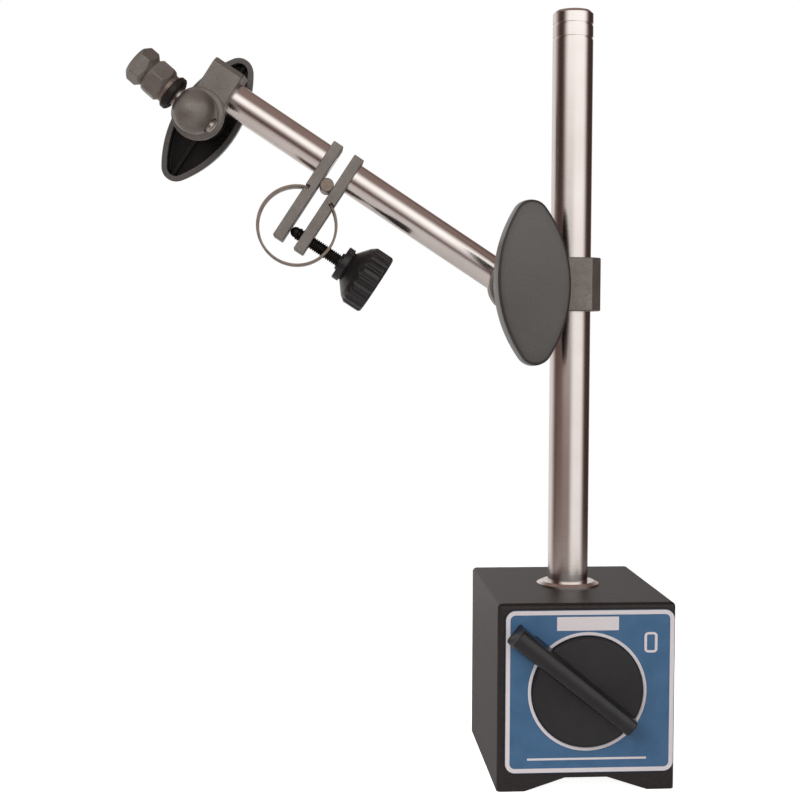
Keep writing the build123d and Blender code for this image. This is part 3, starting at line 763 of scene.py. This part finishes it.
class MAGBASE_OT_base(bpy.types.Operator):
    """Finish the base block, its strips, bush, pin, cover and collar."""

    bl_idname = "magbase.base"
    bl_label = "Base block"

    def execute(self, context):
        dress("stoved_wrinkle_enamel", "pole_block_left", "pole_block_right", "separator_upper",
              "separator_lower")
        dress("rolled_brass", "front_bush")
        dress("turned_bright_steel", "stop_pin")
        dress("moulded_cover_plastic", "rear_cover")
        dress("hard_chromed_post", "post_collar")
        return {"FINISHED"}


class MAGBASE_OT_plate(bpy.types.Operator):
    """Print the plate: border, ring, blank panel, rule and the marks 0 and 1."""

    bl_idname = "magbase.plate"
    bl_label = "Printed plate"

    def execute(self, context):
        sizes = context.scene.magbase_print
        dress("screen_printed_aluminium", "nameplate")
        low, high = extent("nameplate", SWITCH)
        half = (high - low) / 2
        origin, axes = SWITCH
        middle = (origin + (low[0] + half[0]) * axes[0] + (low[1] + half[1]) * axes[1], axes)
        edge = box_outline(half[0], half[1], sizes.corner / MM, steps=8)
        under, over = high[2] - 0.02, high[2] + sizes.film / MM
        inside, outside = sizes.ring_inside / MM, (sizes.ring_inside + sizes.ring) / MM
        ring = np.array([(inside, under), (inside, over), (outside, over), (outside, under), (inside, under)])

        # Half width, half height and corner radius of each printed bar, and its place from the switch.
        panel, panel_up = (8.8, 1.95, 0.15), 19.3
        rule, rule_up = (17.0, 0.3, 0.1), -19.2
        stem, flag, flag_at, flag_turn = (0.34, 2.9, 0.1), (0.32, 0.75, 0.1), (-0.62, 1.95, 0.0), -52.0
        mark_out, mark_up = 18.0, 13.8
        oval = outline([
            (0.55, 1.7, 0.95, 0, 90, 6), (-0.55, 1.7, 0.95, 90, 180, 6),
            (-0.55, -1.7, 0.95, 180, 270, 6), (0.55, -1.7, 0.95, 270, 360, 6),
        ])
        stretch, stroke = (1.25, 1.1, 1.0), 0.6

        def bar(size):
            """One printed bar with eased edges."""
            return slab(box_outline(*size), under, over, 0.01)

        flag = put(bar(flag), turned((np.array(flag_at), np.eye(3)), flag_turn))
        rim = 0.12
        placed = {
            "print_border": ([band(edge, rim, rim + sizes.border / MM, under, over)], (0, 0), middle),
            "print_ring": ([lathe(ring, 160)], (0, 0), SWITCH),
            "print_panel": ([bar(panel)], (0, panel_up), SWITCH),
            "print_rule": ([bar(rule)], (0, rule_up), SWITCH),
            "print_mark_0": ([band(oval, 0.0, stroke, under, over) * stretch], (mark_out, mark_up), SWITCH),
            "print_mark_1": ([bar(stem), flag], (-mark_out, mark_up), SWITCH),
        }
        for name, (sheets, shift, place) in placed.items():
            moved = [sheet + np.array([*shift, 0.0]) for sheet in sheets]
            add_piece(name, skin(name, moved, place), "base", "screen_printed_white_ink")
        return {"FINISHED"}


class MAGBASE_OT_switch(bpy.types.Operator):
    """Shape the switch knob, a turned disc with a tapered lever across it, and finish the rotor."""

    bl_idname = "magbase.switch"
    bl_label = "Switch knob and rotor"

    def execute(self, context):
        sizes = context.scene.magbase_switch
        place = turned(SWITCH, math.degrees(sizes.angle))
        low, high = extent("switch_knob", place)
        radius, back, apex = high[1], low[2], high[2]
        front = back + sizes.disc / MM
        disc = rounded([(0.0, back, 0), (radius, back, 0.2), (radius, front, 0.9), (0.0, front, 0)], 8)
        draft, edge, ridge, corner = (
            value / MM for value in (sizes.draft, sizes.edge, sizes.ridge, sizes.corner)
        )
        tip, tail = sizes.tip_half / MM + draft, sizes.tail_half / MM + draft
        ahead, behind = high[0], -low[0]
        slope = math.degrees(math.asin((tip - tail) / (ahead + behind)))
        corners = [(ahead, tip, 0.0, 90.0 + slope), (-behind, tail, 90.0 + slope, 180.0),
                   (-behind, -tail, 180.0, 270.0 - slope), (ahead, -tip, 270.0 - slope, 360.0)]
        shape = outline([
            (x - math.copysign(corner, x), y - math.copysign(corner, y), corner, first, last, 6)
            for x, y, first, last in corners
        ], between=24)

        def crown(x, y):
            """Round top: the apex less what a circle across the lever falls by."""
            return apex - ridge + np.sqrt(ridge ** 2 - y ** 2)

        foot = back + 0.8  # inside the disc
        turn = np.linspace(0, math.pi / 2, 5)
        rows = [(0, 1, 0, foot, 0), (0, 1, 1, foot, 0), (draft * 0.5, 1, 1, (foot + apex) / 2, 0),
                (draft - 0.02, 1, 1, -edge - 0.5, 1)]
        rows += [(draft + edge * (1 - math.cos(a)), 1, 1, -edge * (1 - math.sin(a)), 1) for a in turn]
        rows += [(draft + edge, 1, s, 0, 1) for s in np.linspace(1, 0, 11)[1:]]
        lever = moulded(shape, rows, crown)
        mesh = skin("switch_knob_moulding", [lathe(disc, 128), lever], place)
        add_piece("switch_knob_moulding", mesh, "switch", "moulded_black_phenolic",
                  ("switch_knob",), crease=30.0)
        dress("sintered_ferrite", "rotor_magnet")
        dress("turned_bright_steel", "rotor_shoes")
        dress("rolled_brass", "rotor_front_plate", "rotor_rear_plate")
        return {"FINISHED"}


class MAGBASE_OT_rods(bpy.types.Operator):
    """Finish the post and the arm's two rods."""

    bl_idname = "magbase.rods"
    bl_label = "Post and rods"

    def execute(self, context):
        dress("hard_chromed_post", "post")
        dress("hard_chromed_arm_rod", "inner_rod", "outer_rod")
        return {"FINISHED"}


class MAGBASE_OT_clamps(bpy.types.Operator):
    """Finish the clamp blocks, the round heads, the bars and the washers beside them."""

    bl_idname = "magbase.clamps"
    bl_label = "Clamps, heads and bars"

    def execute(self, context):
        dress("phosphated_oiled_steel", "post_clamp_block", "end_clamp_block", "arm_head", "end_head",
              "fixed_bar", "moving_bar")
        dress("blackened_steel", "post_knob_washer", "post_friction_washer", "end_knob_washer",
              "end_friction_washer", "post_clamp_bolt", "end_clamp_bolt")
        dress("rolled_brass", "post_knob_insert", "end_knob_insert")
        return {"FINISHED"}


def oval_outline(half_length, half_width, tip):
    """A pointed oval, long in Y: two wide side arcs that run into round tips."""
    tip_at = half_length - tip
    side = (half_width ** 2 + tip_at ** 2 - tip ** 2) / (2 * (half_width - tip))
    away = side - half_width
    lean = math.degrees(math.atan2(tip_at, away))
    return outline([
        (-away, 0, side, -lean, lean, 44), (0, tip_at, tip, lean, 180 - lean, 14),
        (away, 0, side, 180 - lean, 180 + lean, 44), (0, -tip_at, tip, 180 + lean, 360 - lean, 14),
    ])


def oval_knob(name, node, place, tip, sizes):
    """A hollow oval knob: crowned face, round edge, drafted wall, rim, cavity, four ribs and a hub."""
    low, high = extent(node, place)
    depth, rise, crown_radius, wall, edge, hub, bore = (
        value / MM for value in (
            sizes.depth, sizes.rise, sizes.crown, sizes.wall, sizes.edge, sizes.hub, sizes.bore,
        )
    )
    hub_end, top = low[2], high[2]
    rim, face = top - depth - rise, top - rise
    floor = face - sizes.plate / MM
    lean_in = depth * math.tan(sizes.draft)
    rim_round, floor_round = 0.3, 0.6
    shape = oval_outline(high[1], high[0], tip / MM)

    def crown(x, y):
        """The face's height: the top less what a wide sphere falls by."""
        return top - crown_radius + np.sqrt(crown_radius ** 2 - x ** 2 - y ** 2)

    # Inset, X and Y scale, height and share of crown of each ring, and how much of the erosion texture it
    # shows; the lower shares on the round edge and wall and the zero in the cavity are painted shade.
    quarter = [(1 - math.sin(a), 1 - math.cos(a)) for a in np.linspace(0, math.pi / 2, 7)]
    rows = [(lean_in + edge, s, s, 0, 1, 1.0) for s in np.linspace(0, 1, 9)[:-1]]
    # The round edge and the wall take lower erosion shares, so the darker colour there is painted shade.
    rows.append((lean_in + edge, 1, 1, 0, 1, 0.85))
    rows += [(lean_in + edge * out, 1, 1, -edge * down, 1, 0.45) for out, down in quarter[1:]]
    rows.append((lean_in * 0.5, 1, 1, (rim + face) / 2, 0, 0.75))
    rows += [(rim_round * down, 1, 1, rim + rim_round * out, 0, 1.0) for out, down in quarter]
    rows += [(wall - rim_round * out, 1, 1, rim + rim_round * down, 0, 1.0) for out, down in quarter]
    # The cavity's rings take no erosion share, so their near black is painted shade.
    rows += [(wall + floor_round * down, 1, 1, floor - floor_round * out, 0, 0.0) for out, down in quarter]
    rows += [(wall + floor_round, s, s, floor, 0, 0.0) for s in (0.75, 0.5, 0.25, 0.0)]
    rows = np.array(rows)
    shell = moulded(shape, rows[:, :5], crown)
    tube = rounded([
        (bore, hub_end, 0.2), (hub, hub_end, 0.35), (hub + 0.25, floor + floor_round, 0),
        (bore, floor + floor_round, 0), (bore, hub_end + 0.2, 0),
    ])
    tube = np.vstack([tube, tube[:1]])
    sheets = [shell, lathe(tube, 64)]
    rib_low, rib = rim + 3.0, sizes.rib / MM / 2
    start, stop_short = hub - 0.8, 1.2
    for angle, reach in ((0, high[0]), (90, high[1]), (180, high[0]), (270, high[1])):
        half = (reach - stop_short - start) / 2
        bar = slab(box_outline(half, rib, 0.25), rib_low, floor + 0.5, 0.25)
        bar = bar + np.array([start + half, 0.0, 0.0])
        sheets.append(put(bar, turned((np.zeros(3), np.eye(3)), angle)))
    values = [np.repeat(rows[:, 5], shell.shape[1])]
    values += [np.zeros(sheet.shape[0] * sheet.shape[1]) for sheet in sheets[1:]]
    mesh = skin(name, sheets, place, values)
    add_piece(name, mesh, node, "moulded_glass_filled_nylon", (node,))


class MAGBASE_OT_knobs(bpy.types.Operator):
    """Shape the two oval clamp knobs."""

    bl_idname = "magbase.knobs"
    bl_label = "Oval clamp knobs"

    def execute(self, context):
        sizes = context.scene.magbase_oval
        oval_knob("post_oval_knob", "post_clamp_knob", turned(POST_KNOB, math.degrees(sizes.post_lean)),
                  sizes.post_tip, sizes)
        oval_knob("end_oval_knob", "end_clamp_knob", turned(END_KNOB, math.degrees(sizes.end_lean)),
                  sizes.end_tip, sizes)
        return {"FINISHED"}


class MAGBASE_OT_fine(bpy.types.Operator):
    """Shape the fine adjustment's threaded screw, fluted thumb knob and ring spring, and finish the pivot
    pin.
    """

    bl_idname = "magbase.fine"
    bl_label = "Fine adjustment"

    def execute(self, context):
        sizes = context.scene.magbase_fine
        low, high = extent("thumb_screw", ARM)
        radius, pitch, ball = high[0], sizes.pitch / MM, sizes.ball / MM
        end = np.linspace(-math.pi / 6, math.pi / 2, 8)
        nose = np.stack([ball * np.cos(end), high[2] - ball + ball * np.sin(end)], -1)
        shank = high[2] - ball - 0.6
        profile = np.vstack([[(0.0, low[2]), (radius - 0.3, low[2]), (radius, low[2] + 0.3),
                              (radius, shank - 0.2), (radius - 0.3, shank)], nose])
        profile[-1, 0] = 0.0
        screw = threaded(profile, pitch, sizes.thread_depth / MM, low[2] + 0.3, shank - 0.2)
        add_piece("fine_screw_thread", skin("fine_screw_thread", [screw], ARM), "fine_screw",
                  "blackened_steel", ("thumb_screw",), crease=50.0)

        low, high = extent("thumb_knob", ARM)
        nose_at, end_at, head = high[2], low[2], high[0]
        collar, neck, shoulder = sizes.collar / MM, sizes.neck / MM, sizes.shoulder / MM
        collar_at, neck_at, shoulder_at = nose_at - 0.7, nose_at - 3.0, nose_at - 6.4
        dish = 0.4
        profile = rounded([
            (0.0, nose_at, 0), (2.7, nose_at, 0.2), (2.95, collar_at, 0.2), (collar, collar_at, 0.4),
            (collar, neck_at, 0.3), (neck, neck_at, 0.2), (shoulder, shoulder_at, 0.6),
            (head, shoulder_at - 1.7, 0.4), (head, end_at, 1.0), (5.6, end_at, 0.2),
            (5.1, end_at + dish, 0.2), (0.0, end_at + dish, 0),
        ])
        count, columns = sizes.flutes, sizes.flutes * 14
        dense = np.concatenate([
            profile[:-1] + (profile[1:] - profile[:-1]) * share for share in (0.0, 0.25, 0.5, 0.75)
        ], 1).reshape(-1, 2)
        dense = np.vstack([dense, profile[-1:]])
        knob = lathe(dense, columns)
        angle = np.linspace(0, 2 * math.pi, columns, endpoint=False)
        scallop = np.clip(np.cos(count * angle), 0, 1) ** 0.8
        limit = head - sizes.flute_depth / MM * scallop
        radii = np.minimum(dense[:, :1], limit)
        knob[..., :2] *= (radii / np.maximum(dense[:, :1], 1e-9))[..., None]
        add_piece("thumb_knob_moulding", skin("thumb_knob_moulding", [knob], ARM), "thumb_knob",
                  "moulded_black_phenolic", ("thumb_knob",), crease=40.0)

        self.ring_spring()
        dress("tempered_spring_strip", "pivot_pin")
        return {"FINISHED"}

    def ring_spring(self):
        """The strip ring with its edges eased."""
        mesh = frame["nodes"]["ring_spring"].data.copy()
        work = bmesh.new()
        work.from_mesh(mesh)
        bmesh.ops.remove_doubles(work, verts=work.verts, dist=1e-6)
        bmesh.ops.dissolve_limit(work, angle_limit=math.radians(0.5), verts=work.verts, edges=work.edges)
        edges = [e for e in work.edges if e.is_manifold and e.calc_face_angle(0.0) > math.radians(40)]
        bmesh.ops.bevel(work, geom=edges, offset=0.18 * MM, segments=2, profile=0.5, affect="EDGES",
                        clamp_overlap=True)
        bmesh.ops.triangulate(work, faces=[f for f in work.faces if len(f.verts) > 4])
        work.to_mesh(mesh)
        work.free()
        if "custom_normal" in mesh.attributes:
            mesh.attributes.remove(mesh.attributes["custom_normal"])
        mesh.shade_smooth()
        mesh.set_sharp_from_angle(angle=math.radians(35))
        mesh.materials.clear()
        mesh.materials.append(finish("tempered_spring_strip"))
        ring = bpy.data.objects.new("ring_spring_strip", mesh)
        bpy.context.scene.collection.objects.link(ring)
        low, high = extent("ring_spring", ARM)
        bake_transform(ring)
        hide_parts("ring_spring")


def hexagon_nut(shape, bore, sink, low, high, flat_radius):
    """A nut: its outline's wall, both ends cut back by a 45 degree cone, and a countersunk bore.

    A wall point's height is the end less its radius past the flat.
    """
    wall = ring_of(shape)
    radius = np.hypot(wall[:, 0], wall[:, 1])
    way = wall / radius[:, None]
    drop = np.maximum(radius - flat_radius, 0)
    level = np.zeros_like(radius)
    rings = [
        (bore + level, low + sink + level), (bore + sink + level, low + level),
        (np.minimum(radius, flat_radius) - 0.02, low + level), (radius, low + drop), (radius, high - drop),
        (np.minimum(radius, flat_radius) - 0.02, high + level), (bore + sink + level, high + level),
        (bore + level, high - sink + level), (bore + level, low + sink + level),
    ]
    return np.stack([np.concatenate([way * r[:, None], h[:, None]], -1) for r, h in rings])


class MAGBASE_OT_stud(bpy.types.Operator):
    """Shape the two nuts on the indicator stud, and finish the stud, flange and washer."""

    bl_idname = "magbase.stud"
    bl_label = "Indicator stud and nuts"

    def execute(self, context):
        sizes = context.scene.magbase_nuts
        flats, round_off = sizes.flats / MM, sizes.round_off / MM
        corner = flats / math.sqrt(3) - round_off / math.cos(math.radians(30))
        shape = outline([
            (corner * math.cos(math.radians(a)), corner * math.sin(math.radians(a)),
             round_off, a - 30, a + 30, 4) for a in range(0, 360, 60)
        ], between=7)
        for node in ("lug_nut", "lock_nut"):
            low, high = extent(node, STUD)
            nut = hexagon_nut(shape, sizes.bore / MM, sizes.sink / MM, low[2], high[2],
                              flats / 2 - sizes.bevel / MM)
            mesh = skin(node + "_hexagon", [nut], turned(STUD, self.rest_turn(node)))
            add_piece(node + "_hexagon", mesh, "lug_nuts", "phosphated_oiled_steel",
                      (node,), crease=20.0)
        dress("tempered_spring_strip", "lug_washer")
        dress("blackened_steel", "lug_flange")
        dress("turned_bright_steel", "indicator_stud")
        return {"FINISHED"}

    def rest_turn(self, node):
        """The turn at which the hexagon's corners meet those of the CAD nut."""
        own = own_points(node, STUD)
        far = own[np.argmax(np.hypot(own[:, 0], own[:, 1]))]
        return math.degrees(math.atan2(far[1], far[0]))


# ---------------------------------------------------------------- stage

def card(tree, azimuth, elevation, wide, tall, strength):
    """A soft edged window of light in the surroundings: strength inside its angles, nothing outside."""
    edges = []
    for value, (first, last, soft) in ((azimuth, wide), (elevation, tall)):
        middle, half = math.radians((first + last) / 2), math.radians((last - first) / 2)
        away = add(tree, "Math", {0: value, 1: middle}, operation="SUBTRACT")
        away = add(tree, "Math", {0: away}, operation="ABSOLUTE")
        rim = math.radians(soft) / 2
        edges.append(add(tree, "MapRange", {
            "Value": away, "From Min": half + rim, "From Max": half - rim,
        }, interpolation_type="SMOOTHSTEP"))
    inside = add(tree, "Math", {0: edges[0], 1: edges[1]}, operation="MULTIPLY")
    return add(tree, "Math", {0: inside, 1: strength}, operation="MULTIPLY")


# Soft windows of light round the object: first and last azimuth from the front towards the right,
# first and last elevation, each with the softness of its edges, all in degrees, and strength.
CARDS = (
    ((-50.0, 72.0, 38.0), (4.0, 38.0, 24.0), 1.2),
    ((2.0, 72.0, 34.0), (-26.0, 3.0, 18.0), 0.85),
    ((-205.0, -113.0, 50.0), (-30.0, 32.0, 30.0), 0.72),
    ((-90.0, 10.0, 20.0), (-14.0, 0.0, 12.0), 0.14),
    ((-400.0, 280.0, 10.0), (-70.0, -28.0, 16.0), 0.36),
    ((-400.0, 280.0, 10.0), (44.0, 110.0, 24.0), 0.2),
)


def studio_world(surround, matt_share):
    """Warm dim walls with soft cards, which light matt surfaces by a share of what gloss shows, and
    plain white where the camera sees past the object."""
    world = bpy.data.worlds.new("studio")
    world.use_nodes = True
    tree = world.node_tree
    tree.nodes.clear()
    direction = add(tree, "SeparateXYZ", {"Vector": add(tree, "TexCoord").outputs["Generated"]})
    back = add(tree, "Math", {0: direction.outputs["Y"], 1: -1.0}, operation="MULTIPLY")
    azimuth = add(tree, "Math", {0: direction.outputs["X"], 1: back}, operation="ARCTAN2")
    azimuth = add(tree, "Math", {0: azimuth, 1: math.radians(120), 2: math.radians(-240)}, operation="WRAP")
    elevation = add(tree, "Math", {0: direction.outputs["Z"]}, operation="ARCSINE")
    total = add(tree, "MapRange", {
        "Value": direction.outputs["Z"], "From Min": -1.0, "From Max": 1.0,
        "To Min": surround * 0.8, "To Max": surround * 1.2,
    })
    for wide, tall, strength in CARDS:
        lit = card(tree, azimuth, elevation, wide, tall, strength)
        total = add(tree, "Math", {0: total, 1: lit})
    bright = add(tree, "MapRange", {
        "Value": total, "From Min": 0.0, "From Max": 0.7,
    }, interpolation_type="SMOOTHSTEP")
    tone = add(tree, "Mix", {
        "Factor": bright, "A": linear("ffd0c2"), "B": linear("fffdfb"),
    }, data_type="RGBA")
    path = add(tree, "LightPath")
    matt = add(tree, "MapRange", {
        "Value": path.outputs["Is Diffuse Ray"], "To Min": 1.0, "To Max": matt_share,
    })
    total = add(tree, "Math", {0: total, 1: matt}, operation="MULTIPLY")
    lighting = add(tree, "Background", {"Color": tone, "Strength": total})
    seen = add(tree, "Background", {"Color": (1.0, 1.0, 1.0, 1.0), "Strength": 1.0})
    both = add(tree, "MixShader", {0: path.outputs["Is Camera Ray"], 1: lighting, 2: seen})
    add(tree, "OutputWorld", {"Surface": both})
    return world


def area_light(name, power, size, place, target):
    """A square soft light at a place, turned to a target."""
    data = bpy.data.lights.new(name, "AREA")
    data.energy = power
    data.size = size
    shown = bpy.data.objects.new(name, data)
    bpy.context.scene.collection.objects.link(shown)
    toward = unit(np.array(place) - np.array(target))
    x = unit(np.cross([0.0, 0.0, 1.0], toward))
    axes = np.array([x, np.cross(toward, x), toward]).T
    shown.matrix_world = Matrix.Translation(place) @ Matrix(axes.tolist()).to_4x4()
    shown.visible_glossy = False
    return shown


def floor_material(colour):
    """Plain matt floor that fades out into the white surroundings."""
    material = bpy.data.materials.new("matt_studio_floor")
    material.use_nodes = True
    tree = material.node_tree
    tree.nodes.clear()
    where = add(tree, "TexCoord").outputs["Object"]
    away = add(tree, "VectorMath", {0: where}, operation="LENGTH")
    tone = add(tree, "Mix", {
        "Factor": grains(tree, where, 3.0, 0.0, 0.15), "A": (*colour, 1.0), "B": linear("e9e8e6"),
    }, data_type="RGBA")
    seen = add(tree, "LightPath").outputs["Is Camera Ray"]
    shader = add(tree, "BsdfPrincipled", {
        "Base Color": tone, "Roughness": 0.9, "Specular IOR Level": 0.1,
        "Emission Color": (1.0, 1.0, 1.0, 1.0),
        "Emission Strength": add(tree, "Math", {0: seen, 1: 0.92}, operation="MULTIPLY"),
    })
    gone = add(tree, "MapRange", {
        "Value": away, "From Min": 0.16, "From Max": 0.42,
    }, interpolation_type="SMOOTHSTEP")
    clear = add(tree, "BsdfTransparent")
    add(tree, "OutputMaterial", {"Surface": add(tree, "MixShader", {0: gone, 1: shader, 2: clear})})
    return material


class MAGBASE_OT_stage(bpy.types.Operator):
    """Set the floor, the soft lights, the surroundings and the camera."""

    bl_idname = "magbase.stage"
    bl_label = "Stage"

    def execute(self, context):
        look = context.scene.magbase_stage
        rings = np.linspace(0, 600, 25)
        profile = np.stack([rings, -0.05 + 0 * rings], -1)
        mesh = skin("studio_floor", [lathe(profile, 96)], (np.zeros(3), np.eye(3)))
        mesh.materials.append(floor_material(look.floor))
        floor = bpy.data.objects.new("studio_floor", mesh)
        context.scene.collection.objects.link(floor)
        context.scene.world = studio_world(look.surround, look.matt_share)
        middle = (-0.045, 0.0, 0.11)
        area_light("key_light", look.key, 0.95, (-0.75, -0.62, 0.95), middle)
        area_light("fill_light", look.fill, 0.5, (-0.85, -0.1, 0.35), middle)

        yaw, pitch, roll = look.camera_turn
        turn = (Matrix.Rotation(yaw, 3, "Z") @ Matrix.Rotation(pitch, 3, "X")
                @ Matrix.Rotation(roll, 3, "Y") @ Matrix.Rotation(math.pi / 2, 3, "X"))
        data = bpy.data.cameras.new("camera")
        data.sensor_width = 36.0
        data.lens = look.focal
        data.clip_start, data.clip_end = 0.01, 10.0
        camera = bpy.data.objects.new("camera", data)
        context.scene.collection.objects.link(camera)
        camera.matrix_world = Matrix.Translation(look.camera_at) @ turn.to_4x4()
        context.scene.camera = camera
        context.scene.view_settings.view_transform = "Standard"
        return {"FINISHED"}


# ---------------------------------------------------------------- add-on

SETTINGS = {
    "magbase_finishes": MAGBASE_PG_finishes,
    "magbase_print": MAGBASE_PG_print,
    "magbase_switch": MAGBASE_PG_switch,
    "magbase_oval": MAGBASE_PG_oval,
    "magbase_fine": MAGBASE_PG_fine,
    "magbase_nuts": MAGBASE_PG_nuts,
    "magbase_stage": MAGBASE_PG_stage,
}
OPERATORS = (
    MAGBASE_OT_base, MAGBASE_OT_plate, MAGBASE_OT_switch, MAGBASE_OT_rods, MAGBASE_OT_clamps,
    MAGBASE_OT_knobs, MAGBASE_OT_fine, MAGBASE_OT_stud, MAGBASE_OT_stage,
)


class MAGBASE_PT_panel(bpy.types.Panel):
    """Lists the pieces and their settings."""

    bl_idname = "MAGBASE_PT_panel"
    bl_label = "Magnetic base"
    bl_space_type = "VIEW_3D"
    bl_region_type = "UI"
    bl_category = "Magnetic base"

    def draw(self, context):
        for operator in OPERATORS:
            self.layout.operator(operator.bl_idname, text=operator.bl_label)
        for name, group in SETTINGS.items():
            box = self.layout.box()
            box.label(text=group.__doc__)
            for setting in group.__annotations__:
                box.prop(getattr(context.scene, name), setting)


CLASSES = (*SETTINGS.values(), *OPERATORS, MAGBASE_PT_panel)


def register():
    for each in CLASSES:
        bpy.utils.register_class(each)
    for name, group in SETTINGS.items():
        setattr(bpy.types.Scene, name, PointerProperty(type=group))


def unregister():
    for name in SETTINGS:
        delattr(bpy.types.Scene, name)
    for each in reversed(CLASSES):
        bpy.utils.unregister_class(each)


def main():
    """Builds every piece in order."""
    register()
    bpy.ops.magbase.base()
    bpy.ops.magbase.plate()
    bpy.ops.magbase.switch()
    bpy.ops.magbase.rods()
    bpy.ops.magbase.clamps()
    bpy.ops.magbase.knobs()
    bpy.ops.magbase.fine()
    bpy.ops.magbase.stud()
    bpy.ops.magbase.stage()


if __name__ == "__main__":
    main()
